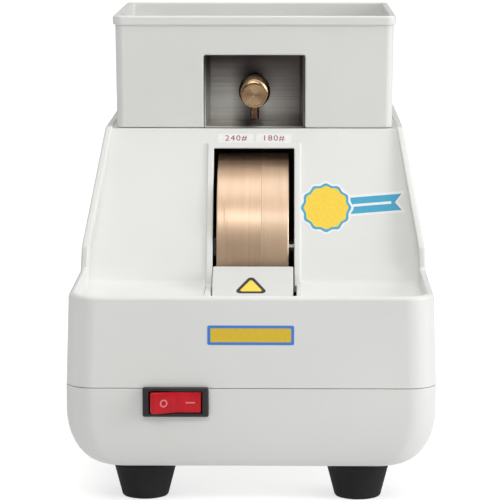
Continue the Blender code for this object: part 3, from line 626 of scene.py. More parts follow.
def make_shell():
    # The rounded top edge of the front wall comes from the bevel: the weight below gives that edge the full width.
    shell = obj_from(
        "shell_skin",
        loft([shell_ring(z, 0.0) for z in (PARTING_Z + SEAM, RIM_Z, 111.0, DECK_RIM_Z)]),
    )
    recess = obj_from("recess", loft([shell_ring(z, LIP) for z in (80.0, RIM_Z, 111.0, DECK_Z, 180.0)]))
    boolean(
        recess,
        [
            (
                "INTERSECT",
                prism([(-10, TRAY_Z), *foot_arc(7.0), SLOPE_TOP, (300, DECK_Z), (300, 220), (-10, 220)], -110, 110),
            )
        ],
    )
    rings = [shell_ring(z, WALL) for z in (PARTING_Z, RIM_Z, 111.0, DECK_Z, 180.0)]
    rings[0] = [(x, y, z - 8) for x, y, z in rings[0]]
    hollow = obj_from("hollow", loft(rings))
    boolean(
        hollow,
        [
            (
                "INTERSECT",
                prism(
                    [(-10, 40), (-10, TRAY_Z - WALL), (89.7, TRAY_Z - WALL), (134.7, DECK_Z - WALL), (300, DECK_Z - WALL), (300, 40)],
                    -110,
                    110,
                ),
            )
        ],
    )
    front = obj_from(
        "front",
        prism(
            [(-20, RIM_Z), (87.5, RIM_Z), (89.5, 111.0), (131.6, DECK_RIM_Z), (131.6, 200), (-20, 200)],
            -120,
            120,
        ),
    )
    for tool in (front, recess, hollow):
        mod = shell.modifiers.new("b", "BOOLEAN")
        mod.operation, mod.solver, mod.object = "DIFFERENCE", "EXACT", tool
    bake(shell)
    for tool in (front, recess, hollow):
        bpy.data.objects.remove(tool, do_unlink=True)
    boolean(
        shell,
        [
            (
                "UNION",
                prism(
                    [
                        on_slope(SLOT_LENGTH + BORDER, -1.5),
                        on_slope(SLOT_LENGTH + BORDER, BORDER_RISE),
                        on_slope(-0.7, BORDER_RISE),
                        (SLOT_FOOT_Y - BORDER, TRAY_Z + BORDER_RISE),
                        (SLOT_FOOT_Y - BORDER, TRAY_Z - 1.5),
                        on_slope(1.0, -1.5),
                    ],
                    -SLOT_HALF - BORDER,
                    SLOT_HALF + BORDER,
                ),
            ),
            (
                "DIFFERENCE",
                prism(
                    [on_slope(SLOT_LENGTH, 12), on_slope(SLOT_LENGTH, 0.6), on_slope(SLOT_LENGTH + 4.0, -6.0), on_slope(SLOT_LENGTH, -12), (100, 78), (SLOT_FOOT_Y, 78), (SLOT_FOOT_Y, 106), (72, 106)],
                    -SLOT_HALF,
                    SLOT_HALF,
                ),
            ),
            ("DIFFERENCE", box(15, SLOT_HALF + 1.1, 50, 86.5, 80, 106)),
            ("DIFFERENCE", box(-14, 14, 139, 158, 155, 175)),
        ],
    )

    def weight(p, e):
        x, y, z = p
        half, front_y, back_y = between(HALF_AT, z), between(FRONT_AT, z), between(BACK_AT, z)
        under = TRAY_Z - WALL if y < 89.7 else min(DECK_Z - WALL, TRAY_Z - WALL + (y - 89.7) * 74.0 / 45.0)
        inside = abs(x) < half - WALL + 0.15 and front_y + WALL - 0.15 < y < back_y - WALL + 0.15 and z < under + 0.3
        if inside:
            return 0.0
        outer = abs(x) > half - 0.3 or y < front_y + 0.3 or y > back_y - 0.3 or (abs(x) > half - PLAN_R and y < front_y + PLAN_R and z > RIM_Z - 1)
        corner = math.hypot(abs(x) - (half - PLAN_R), y - (front_y + PLAN_R))
        on_corner = abs(x) > half - PLAN_R and y < front_y + PLAN_R
        if on_corner:
            outer = corner > PLAN_R - 0.6
        if z < PARTING_Z + 1.5:
            return 0.12
        if abs(z - RIM_Z) < 0.3 and outer and y < 88:
            return 1.0
        if outer:
            return 0.55
        if abs(x) > half - LIP - 0.6 or y < front_y + LIP + 0.6 or on_corner:
            return 0.36
        return 0.3

    bevelled(shell, weight, 2.1, 4)
    shell.name = "shell_skin"
    return settle(shell, "housing", MAT["upper_shell"], ("upper_shell",))


make_shell()


# ================================================================ lower shell
def make_tub():
    def ring(z, inset, turn=None, n=12):
        k = 0.0 if turn is None else 1.0 - math.cos(turn)
        return rrect(
            HALF_PARTING - inset - (ARC_X - inset) * k,
            inset + (ARC_Y - inset) * k,
            BODY_DEPTH - inset - (ARC_Y - inset) * k,
            max(PLAN_R - inset - 3.0 * k, 5.0),
            z,
            n,
        )

    rings = []
    for deg in range(90, -1, -9):
        t = math.radians(deg)
        rings.append(ring(BASE_Z + ARC_Z * (1 - math.sin(t)), 0.0, t))
    rings += [
        ring(PARTING_Z - SEAM - 0.28, 0.0),
        ring(PARTING_Z - SEAM - 0.08, 0.08),
        ring(PARTING_Z - SEAM, 0.28),
        ring(PARTING_Z - SEAM, 3.8),
        ring(61.0, 3.8),
        ring(61.0, 5.4),
        ring(50.0, 5.4),
        ring(47.0, 3.0),
    ]
    for deg in (0, 18, 36, 54, 72, 90):
        t = math.radians(deg)
        rings.append(ring(BASE_Z + WALL + (ARC_Z - WALL) * (1 - math.sin(t)), WALL, t))
    tub = obj_from("tub_skin", loft(rings))
    steps = []
    for sx in (-1, 1):
        for y in FOOT_Y:
            steps.append(("UNION", rod(8.0, (sx * FOOT_X, y, 20.0), (sx * FOOT_X, y, 23.7), 32)))
            steps.append(("DIFFERENCE", rod(2.4, (sx * FOOT_X, y, 10.0), (sx * FOOT_X, y, 30.0), 24)))
        for x, y in ((68.0, 16.0), (72.0, 215.0)):
            steps.append(("UNION", rod(6.5, (sx * x, y, 20.3), (sx * x, y, 32.2), 32)))
            steps.append(
                (
                    "DIFFERENCE",
                    turned([(0, 10), (4.3, 10), (4.3, 25.0), (2.3, 25.0), (2.3, 40), (0, 40)], (sx * x, y, 0), (0, 0, 1), 32),
                )
            )
    steps += [
        ("DIFFERENCE", box(SX - 14.0, SX + 14.0, -6, 12, SZ - 6.1, SZ + 6.1)),
        ("DIFFERENCE", box(INLET_X - 13.8, INLET_X + 13.8, 262, 285, INLET_Z - 9.8, INLET_Z + 9.8)),
        ("DIFFERENCE", rod(12.0, (0, WHEEL_Y, 10), (0, WHEEL_Y, 30), 48)),
        (
            "DIFFERENCE",
            join(*[prism(round_rect(x - 1.5, x + 1.5, 30.0, 49.0, 1.45, 5), 262, 285, "y") for x in range(-18, 52, 12)]),
        ),
    ]
    boolean(tub, steps)
    tub.data.shade_smooth()
    tub.data.set_sharp_from_angle(angle=math.radians(32))
    mod = tub.modifiers.new("weighted", "WEIGHTED_NORMAL")
    mod.keep_sharp = True
    bake(tub)
    return settle(tub, "housing", MAT["base_tub"], ("base_tub",))


make_tub()


# ================================================================ water tank
def tank_ring(z, inset, r=4.0, n=8):
    draft = (z - TANK_BOTTOM) * 0.012
    return rrect(TANK_HALF - 0.6 + draft - inset, T0 - draft * 0.6 + inset, T1 + draft - inset, max(r - inset, 1.2), z, n)


def make_tank():
    top = TANK_TOP
    rings = [tank_ring(TANK_BOTTOM, 0.5), tank_ring(TANK_BOTTOM + 0.15, 0.13), tank_ring(TANK_BOTTOM + 0.5, 0.0), tank_ring(top - 4.9, 0.0), tank_ring(top - 4.6, -0.25)]
    rings += [tank_ring(top - 4.6, -0.8), tank_ring(top - 4.45, -1.08), tank_ring(top - 4.1, -1.2), tank_ring(top - 1.0, -1.2)]
    for deg in (30, 60, 90):
        t = math.radians(deg)
        rings.append(tank_ring(top - 1.0 + math.sin(t), -1.2 + 1.0 - math.cos(t)))
    for deg in (0, 30, 60, 90):
        t = math.radians(deg)
        rings.append(tank_ring(top - 0.8 + 0.8 * math.cos(t), TANK_WALL - 0.8 + 0.8 * math.sin(t)))
    for deg in (90, 60, 30, 0):
        t = math.radians(deg)
        rings.append(tank_ring(TANK_BOTTOM + TANK_WALL + 2.0 - 2.0 * math.cos(t), TANK_WALL + 2.0 - 2.0 * math.sin(t)))
    tank = obj_from("tank_skin", loft(rings))
    boolean(
        tank,
        [
            (
                "UNION",
                prism(
                    [(-28.5, T0 + 0.6), (28.5, T0 + 0.6), (26.7, NICHE_BACK + 2.5), (-26.7, NICHE_BACK + 2.5)],
                    TANK_BOTTOM + 0.5,
                    NICHE_TOP + 2.5,
                    "z",
                ),
            ),
            (
                "DIFFERENCE",
                prism(
                    [(-NICHE_HALF, T0 - 8), (NICHE_HALF, T0 - 8), (NICHE_HALF, T0), (24.2, NICHE_BACK), (-24.2, NICHE_BACK), (-NICHE_HALF, T0)],
                    TANK_BOTTOM - 5,
                    NICHE_TOP,
                    "z",
                ),
            ),
            ("DIFFERENCE", rod(4.4, (0, 160, SHANK_Z), (0, 175, SHANK_Z), 32)),
        ],
    )

    def weight(p, e):
        x, y, z = p
        at_front = y < T0 + 0.4
        on_niche = (abs(abs(x) - NICHE_HALF) < 0.6 and z < NICHE_TOP + 0.5) or (abs(z - NICHE_TOP) < 0.5 and abs(x) < NICHE_HALF + 0.5)
        if at_front and on_niche:
            return 1.0
        if abs(y - (NICHE_BACK + 2.5)) < 0.3 and abs(x) < 28 and z > TANK_BOTTOM + 4 and math.hypot(x, z - SHANK_Z) > 7:
            return 0.8
        return 0.0

    bevelled(tank, weight, 0.9, 3)
    tank.name = "tank_skin"
    return settle(tank, "tank", MAT["water_tank"], ("water_tank",))


make_tank()


# ================================================================ guard insert
def make_guard():
    profile = [(49.5, 90.0), (61.0, 90.5), (84.4, 102.2), (86.4, 101.4), (86.4, 98.6), (85.0, 98.6), (63.0, 87.6), (49.5, 87.2)]
    guard = obj_from("guard_skin", prism(profile, -20.0, 20.0))
    bevelled(guard, lambda p, e: 1.0 if not (60 < p[1] < 64) else 0.6, 0.6, 3, least=20)
    guard.name = "guard_skin"
    return settle(guard, "guard", MAT["wheel_guard"], ("wheel_guard",))


make_guard()

# ================================================================ wheel
SPIN = (0.0, WHEEL_Y, WHEEL_Z)


def along_x(profile, steps=160, ring=True, centre=SPIN):
    return turned(profile, (0, centre[1], centre[2]), (1, 0, 0), steps, ring)


fine_profile = [
    (46.0, -18.6), (49.5, -18.6), (49.78, -18.45), (49.9, -18.15),
    (49.9, -15.1), (49.86, -14.8), (49.79, -14.5), (49.77, -14.2), (49.79, -13.9), (49.86, -13.6), (49.9, -13.3),
    (49.9, GRIT_SPLIT_X - 0.02), (46.0, GRIT_SPLIT_X - 0.02),
]
coarse_profile = [
    (46.0, GRIT_SPLIT_X + 0.02), (49.9, GRIT_SPLIT_X + 0.02), (49.97, GRIT_SPLIT_X + 0.1),
    (49.97, 17.25), (49.75, 17.6), (49.4, WHEEL_HALF), (46.0, WHEEL_HALF),
]
settle(obj_from("wheel_fine_skin", along_x(fine_profile, 200), 9), "wheel_unit", MAT["wheel_fine"], ("wheel_ring_fine",))
settle(obj_from("wheel_coarse_skin", along_x(coarse_profile, 200), 9), "wheel_unit", MAT["wheel_coarse"], ("wheel_ring_coarse",))

# ================================================================ tap
TILT = math.radians(13.0)
AXIS = Vector((0.0, math.cos(TILT), math.sin(TILT)))
BARREL = Vector((0.0, 147.0, 186.2))


def make_tap():
    body = obj_from(
        "tap_skin",
        turned(
            [(0, -2.8), (4.3, -2.8), (4.8, -2.6), (5.1, -2.1), (5.15, -1.4), (5.15, 4.2), (5.0, 5.0), (4.5, 6.6), (4.15, 8.5), (4.15, 11.0), (0, 11.0)],
            BARREL,
            AXIS,
            40,
        ),
    )
    boolean(
        body,
        [
            (
                "UNION",
                turned(
                    [(0, 155.5), (3.2, 155.6), (4.1, 156.2), (5.4, 158.1), (5.58, 158.7), (5.58, 162.7), (5.3, 163.15), (4.05, 163.2), (4.05, 179.4), (3.6, 180.0), (0, 180.0)],
                    (0, 0, SHANK_Z),
                    (0, 1, 0),
                    48,
                ),
            ),
            ("UNION", turned([(0, 0.05), (1.6, 0.05), (2.15, 0.4), (2.3, 1.0), (2.3, 16.3), (0, 16.3)], (0, 149.0, 169.2), (0, 0, 1), 28)),
            ("DIFFERENCE", rod(1.3, (0, 149.0, 165.0), (0, 149.0, 176.0), 16)),
            ("DIFFERENCE", rod(1.8, (0, 166, SHANK_Z), (0, 190, SHANK_Z), 20)),
        ],
    )
    body.data.shade_smooth()
    body.data.set_sharp_from_angle(angle=math.radians(40))
    return settle(body, "tank", MAT["brass"], ("tap_body",))


make_tap()


def make_knob():
    """A turned knob: a faced disc with a bright rim in front, and a polished bell behind."""
    bm = bmesh.new()
    ahead, side = AXIS, Vector((1, 0, 0))
    other = ahead.cross(side)
    steps = 96
    profile = [
        (0, -14.2), (0.5, -14.22), (0.7, -14.42), (5.35, -14.42), (5.55, -14.56), (6.1, -14.6), (6.45, -14.4), (6.55, -14.0), (6.55, -13.0), (6.3, -12.6),
        (6.0, -12.4), (5.95, -12.2), (6.2, -12.0), (6.9, -11.6), (7.5, -10.8), (7.95, -9.7), (8.15, -8.6), (8.22, -7.6), (8.22, -5.2),
        (8.1, -4.2), (7.6, -3.4), (7.2, -3.22), (0, -3.2),
    ]
    loops = []
    for i, (r, s) in enumerate(profile):
        if r == 0:
            loops.append([bm.verts.new(BARREL + ahead * s)])
            continue
        ring = []
        for k in range(steps):
            t = 2 * math.pi * k / steps
            rr = r
            ring.append(bm.verts.new(BARREL + ahead * s + side * (rr * math.cos(t)) + other * (rr * math.sin(t))))
        loops.append(ring)
    for a, b in zip(loops, loops[1:]):
        for k in range(steps):
            m = (k + 1) % steps
            if len(a) == 1:
                bm.faces.new((a[0], b[k], b[m]))
            elif len(b) == 1:
                bm.faces.new((a[k], b[0], a[m]))
            else:
                bm.faces.new((a[k], b[k], b[m], a[m]))
    knob = obj_from("knob_skin", bm, 35)
    return settle(knob, "tap_valve", MAT["turned_brass"], ("tap_knob",))


make_knob()

nut = obj_from("nut_skin", prism([(7.9 * math.cos(math.radians(60 * k)), SHANK_Z + 7.9 * math.sin(math.radians(60 * k))) for k in range(6)], 169.95, 175.35, "y"))
boolean(nut, [("DIFFERENCE", rod(4.5, (0, 160, SHANK_Z), (0, 185, SHANK_Z), 36))])
bevelled(nut, lambda p, e: 1.0, 0.4, 2)
nut.name = "nut_skin"
settle(nut, "tank", MAT["brass"], ("tap_nut",))

# ================================================================ feet
for tag, sx, y in (
    ("front_left", -1, FOOT_Y[0]),
    ("front_right", 1, FOOT_Y[0]),
    ("rear_left", -1, FOOT_Y[1]),
    ("rear_right", 1, FOOT_Y[1]),
):
    profile = [
        (6.0, 0.8), (6.5, 0.15), (7.1, 0.0), (9.9, 0.0), (10.6, 0.2), (11.05, 0.7), (11.3, 1.5),
        (14.72, 14.7), (14.82, 15.0), (14.95, 15.12), (15.15, 15.2), (15.33, 15.4), (15.39, 15.7),
        (15.39, 17.4), (15.3, 17.7), (15.0, FOOT_TOP), (2.4, FOOT_TOP), (2.4, 9.0), (6.0, 9.0),
    ]
    foot = obj_from("foot_skin_" + tag, turned(profile, (sx * FOOT_X, y, 0), (0, 0, 1), 72, ring=True), 40)
    settle(foot, "housing", MAT["foot_rubber"], ("foot_" + tag,))
    head = [(0, 5.9), (2.4, 5.75), (3.9, 6.1), (4.5, 6.9), (4.55, 8.7), (2.0, 8.7), (2.0, 28.4), (0, 28.5)]
    screw = obj_from("foot_screw_skin_" + tag, turned(head, (sx * FOOT_X, y, 0), (0, 0, 1), 40), 35)
    boolean(
        screw,
        [
            ("DIFFERENCE", box(sx * FOOT_X - 2.6, sx * FOOT_X + 2.6, y - 0.45, y + 0.45, 4.0, 7.4)),
            ("DIFFERENCE", box(sx * FOOT_X - 0.45, sx * FOOT_X + 0.45, y - 2.6, y + 2.6, 4.0, 7.4)),
        ],
    )
    screw.data.shade_smooth()
    screw.data.set_sharp_from_angle(angle=math.radians(35))
    settle(screw, "housing", MAT["fastener_steel"], ("foot_screw_" + tag,))
    x = 68.0 if y < 100 else 72.0
    ys = 16.0 if y < 100 else 215.0
    head = [(0, 22.0), (2.0, 21.9), (3.3, 22.3), (3.8, 23.0), (3.85, 24.7), (1.95, 24.7), (1.95, 43.9), (0, 44.0)]
    screw = obj_from("case_screw_skin_" + tag, turned(head, (sx * x, ys, 0), (0, 0, 1), 40), 35)
    boolean(
        screw,
        [
            ("DIFFERENCE", box(sx * x - 2.2, sx * x + 2.2, ys - 0.4, ys + 0.4, 21.0, 23.6)),
            ("DIFFERENCE", box(sx * x - 0.4, sx * x + 0.4, ys - 2.2, ys + 2.2, 21.0, 23.6)),
        ],
    )
    screw.data.shade_smooth()
    screw.data.set_sharp_from_angle(angle=math.radians(35))
    settle(screw, "housing", MAT["fastener_steel"], ("case_screw_" + tag,))


# ================================================================ switch
def make_switch():
    def outline(half_x, half_z, r):
        return round_rect(SX - half_x, SX + half_x, SZ - half_z, SZ + half_z, r, 5)

    bm = bmesh.new()
    loops = []
    for shape, y in (
        (outline(13.6, 5.8, 0.3), 24.0), (outline(13.6, 5.8, 0.3), -0.35), (outline(15.5, 7.0, 0.9), -0.35), (outline(15.5, 7.0, 0.9), -1.6),
        (outline(15.42, 6.92, 0.9), -1.95), (outline(15.2, 6.7, 0.9), -2.25), (outline(14.85, 6.35, 0.8), -2.4),
        (outline(12.85, 5.5, 0.5), -2.4), (outline(12.6, 5.3, 0.45), -2.3), (outline(12.5, 5.2, 0.4), -2.05),
        (outline(12.5, 5.2, 0.4), -1.35), (outline(13.1, 5.3, 0.3), -1.25), (outline(13.1, 5.3, 0.3), 13.5),
    ):
        loops.append([bm.verts.new((x, y, z)) for x, z in shape])
    for p, q in zip(loops, loops[1:]):
        for k in range(len(p)):
            m = (k + 1) % len(p)
            bm.faces.new((p[k], p[m], q[m], q[k]))
    bm.faces.new(loops[-1])
    bm.faces.new(list(reversed(loops[0])))
    bmesh.ops.recalc_face_normals(bm, faces=bm.faces)
    settle(obj_from("switch_skin", bm, 30), "housing", MAT["black_plastic"], ("switch_housing",))

    tilt = math.radians(10.0)
    c, s = math.cos(tilt), math.sin(tilt)

    def turn(x, y):
        return (SX + x * c - y * s, 0.6 + x * s + y * c)

    profile = [(-11.4, -5.0), (-0.6, -3.09), (0.0, -3.05), (0.6, -3.09), (11.4, -5.0), (12.1, 0.0), (10.6, 4.0), (3.0, 6.5), (-3.0, 6.5), (-10.6, 4.0), (-12.1, 0.0)]
    profile = [
        (-11.35, 3.9), (-11.9, 0.6), (-11.9, -3.6), (-11.78, -4.35), (-11.35, -5.0), (-10.75, -5.55), (-10.0, -5.8), (-9.1, -5.85),
        (-0.9, -2.66), (-0.3, -2.47), (0.3, -2.42), (1.0, -2.43), (10.9, -2.47), (11.6, -2.35), (11.95, -2.0), (12.05, -1.2), (11.4, 2.2),
        (9.8, 6.3), (2.0, 7.2), (-4.0, 6.4),
    ]
    bm = bmesh.new()
    loops = []
    r = 0.75
    ends = [(r * (1 - math.sin(math.radians(22.5 * k))), r * (1 - math.cos(math.radians(22.5 * k)))) for k in range(5)]
    levels = [(d, -4.95 + h) for d, h in reversed([(i, r - r * math.sin(math.acos(max(-1.0, min(1.0, 1 - i / r))))) for i, h in ends])]
    levels = [(d, h) for d, h in sorted(levels, key=lambda level: level[1])]
    levels += [(d, -h) for d, h in reversed(levels)]
    for d, h in levels:
        ring = []
        for x, y in profile:
            if y < 0.6:
                y = y + d
                x = x - math.copysign(min(d, 0.6), x) if abs(x) > 10.5 else x
            ring.append(bm.verts.new((SX + x, y, SZ + h)))
        loops.append(ring)
    for p, q in zip(loops, loops[1:]):
        for k in range(len(p)):
            m = (k + 1) % len(p)
            bm.faces.new((p[k], p[m], q[m], q[k]))
    bm.faces.new(loops[-1])
    bm.faces.new(list(reversed(loops[0])))
    bmesh.ops.recalc_face_normals(bm, faces=bm.faces)
    settle(obj_from("rocker_skin", bm, 32), "rocker", MAT["red_plastic"], ("switch_rocker",))

    # raised marks on the two faces: a ring on the left and a bar on the right
    def face_point(u, w, lift):
        """u along the rocker from its middle, w up: on the face, lifted out of it."""
        k = (5.0 - 3.05) / 11.4
        x, y = u, -3.05 - abs(u) * k
        n = Vector((math.copysign(k, u) * -1.0, -1.0)).normalized()
        px, py = turn(x + n.x * lift, y + n.y * lift)
        return (px, py, SZ + w)

    bm = bmesh.new()
    steps, r0, r1 = 40, 1.25, 1.85
    rings = []
    for r, lift in ((r0, -0.1), (r0, 0.12), (r1, 0.12), (r1, -0.1)):
        rings.append([bm.verts.new(face_point(-6.3 + r * math.cos(2 * math.pi * k / steps) * 0.97, r * math.sin(2 * math.pi * k / steps), lift)) for k in range(steps)])
    for a, b in zip(rings, rings[1:] + rings[:1]):
        for k in range(steps):
            m = (k + 1) % steps
            bm.faces.new((a[k], a[m], b[m], b[k]))
    settle(obj_from("rocker_mark_off", bm, 40), "rocker", INK["pink"])
    bm = bmesh.new()
    outline = round_rect(4.1, 8.5, -0.32, 0.32, 0.3, 4)
    loops = [[bm.verts.new(face_point(u, w, lift)) for u, w in outline] for lift in (-0.1, 0.12)]
    n = len(outline)
    for k in range(n):
        m = (k + 1) % n
        bm.faces.new((loops[0][k], loops[0][m], loops[1][m], loops[1][k]))
    bm.faces.new(loops[1])
    bm.faces.new(list(reversed(loops[0])))
    settle(obj_from("rocker_mark_on", bm, 40), "rocker", INK["pink"])


make_switch()

# ================================================================ mains inlet
inlet = obj_from("inlet_skin", box(INLET_X - 13.4, INLET_X + 13.4, 252, 276.0, INLET_Z - 9.4, INLET_Z + 9.4))
boolean(
    inlet,
    [
        ("UNION", prism(round_rect(INLET_X - 16, INLET_X + 16, INLET_Z - 12, INLET_Z + 12, 2.2, 6), 275.35, 277.6, "y")),
        (
            "DIFFERENCE",
            prism(
                [(INLET_X - 11.6, INLET_Z - 7.8), (INLET_X + 11.6, INLET_Z - 7.8), (INLET_X + 11.6, INLET_Z + 3.0), (INLET_X + 7.0, INLET_Z + 7.8), (INLET_X - 7.0, INLET_Z + 7.8), (INLET_X - 11.6, INLET_Z + 3.0)],
                259,
                285,
                "y",
            ),
        ),
    ],
)
bevelled(inlet, lambda p, e: 1.0 if p[1] > 277.3 else 0.0, 0.6, 3)
inlet.name = "inlet_skin"
settle(inlet, "housing", MAT["black_plastic"], ("power_inlet",))


# ================================================================ stickers and marks
def sticker(name, outline, place, thick, body, material):
    """A thin sheet with a bevelled rim: outline is (u, v) pairs and place(u, v, lift) gives design mm."""
    bm = bmesh.new()
    cu = sum(u for u, v in outline) / len(outline)
    cv = sum(v for u, v in outline) / len(outline)
    rim = thick * 0.4
    loops = []
    for shrink, lift in ((0.0, 0.02), (0.0, thick * 0.6), (rim, thick)):
        loop = []
        for u, v in outline:
            d = math.hypot(u - cu, v - cv)
            k = 1.0 - shrink / d
            loop.append(bm.verts.new(place(cu + (u - cu) * k, cv + (v - cv) * k, lift)))
        loops.append(loop)
    n = len(outline)
    for a, b in zip(loops, loops[1:]):
        for k in range(n):
            m = (k + 1) % n
            bm.faces.new((a[k], a[m], b[m], b[k]))
    bm.faces.new(loops[-1])
    bm.faces.new(list(reversed(loops[0])))
    return settle(obj_from(name, bm, 40), body, material)


def slope_place(x0, s0, angle=0.0, base=0.0):
    c, s_ = math.cos(angle), math.sin(angle)

    def place(u, v, lift):
        x, along = x0 + u * c - v * s_, s0 + u * s_ + v * c
        y, z = on_slope(along, lift + base)
        return (x, y, z)

    return place


def lettering(name, text, size, place, lift, body, material, spread_x=1.0):
    """Plain numerals turned into thin solid letters on a surface."""
    curve = bpy.data.curves.new(name, "FONT")
    curve.body = text
    curve.size = size
    curve.align_x = "CENTER"
    curve.align_y = "CENTER"
    curve.space_character = 1.18
    curve.extrude = 0.045
    curve.resolution_u = 4
    obj = bpy.data.objects.new(name, curve)
    SCENE.collection.objects.link(obj)
    graph = bpy.context.evaluated_depsgraph_get()
    graph.update()
    mesh = bpy.data.meshes.new_from_object(obj.evaluated_get(graph))
    bpy.data.objects.remove(obj, do_unlink=True)
    bm = bmesh.new()
    bm.from_mesh(mesh)
    bpy.data.meshes.remove(mesh)
    bmesh.ops.remove_doubles(bm, verts=bm.verts, dist=1e-4)
    for v in bm.verts:
        v.co = Vector(place(v.co.x * spread_x, v.co.y, lift + v.co.z))
    return settle(obj_from(name, bm, flat=True), body, material)


LABEL_S = 81.2
for tag, x0, text in (("fine", -9.35, "240#"), ("coarse", 9.8, "180#")):
    place = slope_place(x0, LABEL_S)
    sticker("grit_label_" + tag, round_rect(-9.1, 9.1, -2.5, 2.5, 0.4, 3), place, 0.12, "housing", INK["white"])
    lettering("grit_number_" + tag, text, 4.3, place, 0.13, "housing", INK["red"], 1.12)


def front_place(x0, z0, y_at):
    def place(u, v, lift):
        z = z0 + v
        return (x0 + u, y_at(z) - lift, z)

    return place


def front_face_y(z):
    return between(FRONT_AT, z)


place = front_place(0.0, 82.6, front_face_y)
sticker("front_label", round_rect(-20.3, 20.3, -4.6, 4.6, 0.8, 4), place, 0.12, "housing", INK["blue"])
sticker("front_label_field", round_rect(-18.9, 18.9, -3.3, 3.3, 0.5, 4), front_place(0.0, 82.6, lambda z: front_face_y(z) - 0.1), 0.1, "housing", INK["amber"])


# a plain two-part sticker on the slope's right side: a disc and a flag beside it
def outlined(points, grow):
    """The outline moved outwards by grow along its own normals."""
    out = []
    n = len(points)
    for i, (x, y) in enumerate(points):
        (x0, y0), (x1, y1) = points[i - 1], points[(i + 1) % n]
        dx, dy = x1 - x0, y1 - y0
        length = math.hypot(dx, dy) or 1.0
        out.append((x + dy / length * grow, y - dx / length * grow))
    return out


def seal(r, wave, n=120, lobes=12):
    """A scalloped disc."""
    return [
        ((r + wave * math.cos(lobes * 2 * math.pi * k / n)) * math.cos(2 * math.pi * k / n),
         (r + wave * math.cos(lobes * 2 * math.pi * k / n)) * 1.06 * math.sin(2 * math.pi * k / n))
        for k in range(n)
    ]


def ribbon(x0, x1, low, high, slant, cut_in=0.0):
    """A strip that leans with the sticker, with a swallowtail at its far end."""
    points = [(x0, low), (x1, low), (x1 - cut_in, (low + high) / 2), (x1, high), (x0, high)]
    if not cut_in:
        points.pop(2)
    return [(x, y + slant * (x - x0)) for x, y in points]


badge = (36.6, 42.5)
ribbon_shape = ribbon(2.0, 38.2, -4.4, 4.6, 0.09, 3.4)
sticker("badge_ribbon_edge", ribbon(1.0, 40.2, -5.8, 6.0, 0.09, 3.6), slope_place(*badge), 0.07, "housing", INK["white"])
sticker("badge_seal_edge", seal(13.4, 0.55), slope_place(*badge, 0.0, 0.05), 0.07, "housing", INK["white"])
sticker("badge_ribbon", ribbon_shape, slope_place(*badge, 0.0, 0.06), 0.05, "housing", INK["cyan"])
sticker("badge_ribbon_line", ribbon(13.5, 33.0, -0.5, 0.9, 0.09), slope_place(badge[0], badge[1] + 1.0, 0.0, 0.1), 0.05, "housing", INK["white"])
sticker("badge_seal", seal(12.2, 0.5), slope_place(*badge, 0.0, 0.11), 0.05, "housing", INK["cyan"])
sticker("badge_seal_field", seal(10.9, 0.4), slope_place(*badge, 0.0, 0.15), 0.05, "housing", INK["gold"])

# a plain triangle on the guard
GUARD_LOW, GUARD_HIGH = Vector((0, 61.0, 90.5)), Vector((0, 84.4, 102.2))
guard_up = (GUARD_HIGH - GUARD_LOW).normalized()
guard_out = Vector((0, -guard_up.z, guard_up.y))


def guard_place(x0, s0, base=0.0):
    def place(u, v, lift):
        q = GUARD_LOW + guard_up * (s0 + v) + guard_out * (lift + base)
        return (x0 + u, q.y, q.z)

    return place


def triangle(half, height, r, n=5):
    """A rounded triangle about its centre."""
    corners = [(-half, -height / 3), (half, -height / 3), (0, 2 * height / 3)]
    points = []
    for i, (x, y) in enumerate(corners):
        before, after = Vector(corners[i - 1]), Vector(corners[(i + 1) % 3])
        here = Vector((x, y))
        a, b = (before - here).normalized(), (after - here).normalized()
        half_angle = a.angle(b) / 2
        centre = here + (a + b).normalized() * (r / math.sin(half_angle))
        start = centre - b.orthogonal().normalized() * 0
        t0 = here + a * (r / math.tan(half_angle))
        t1 = here + b * (r / math.tan(half_angle))
        a0 = math.atan2(t0.y - centre.y, t0.x - centre.x)
        a1 = math.atan2(t1.y - centre.y, t1.x - centre.x)
        while a1 < a0:
            a1 += 2 * math.pi
        for k in range(n + 1):
            t = a0 + (a1 - a0) * k / n
            points.append((centre.x + r * math.cos(t), centre.y + r * math.sin(t)))
    return points


sticker("guard_triangle_rim", triangle(8.7, 15.4, 2.0), guard_place(-0.8, 8.4), 0.1, "guard", INK["dark"])
sticker("guard_triangle", triangle(5.9, 10.2, 0.9), guard_place(-0.8, 8.2, 0.09), 0.08, "guard", INK["yellow"])


# ================================================================ stage, light and camera
KEY, TOP, LEFT, RIGHT, SKY, FLOOR_GLOW = 12.9, 20.8, 2.0, 28.0, 0.21, 0.34


def floor_material():
    m, tree, shader, where = new_material("floor_paper", (0.5, 0.5, 0.5), 0.85)
    shader.inputs["Specular IOR Level"].default_value = 0.1
    shader.inputs["Emission Color"].default_value = (1, 1, 1, 1)
    shader.inputs["Emission Strength"].default_value = FLOOR_GLOW
    paper = spread(tree, noise(tree, where, 3.0), 0.0, 1.0)
    path = tree.nodes.new("ShaderNodeLightPath")
    bounce = mix(tree, paper, (0.49, 0.49, 0.49), (0.51, 0.51, 0.51))
    seen = mix(tree, paper, (0.54, 0.54, 0.54), (0.56, 0.56, 0.56))
    tree.links.new(mix(tree, path.outputs["Is Camera Ray"], bounce, seen), shader.inputs["Base Color"])
    away = tree.nodes.new("ShaderNodeVectorMath")
    away.operation = "LENGTH"
    tree.links.new(where, away.inputs[0])
    sweep = spread(tree, away.outputs["Value"], 0.66, 1.0, 0.25, 1.0)
    glow = tree.nodes.new("ShaderNodeMix")
    tree.links.new(path.outputs["Is Camera Ray"], glow.inputs["Factor"])
    glow.inputs["A"].default_value = FLOOR_GLOW
    tree.links.new(sweep, glow.inputs["B"])
    tree.links.new(glow.outputs["Result"], shader.inputs["Emission Strength"])
    return m


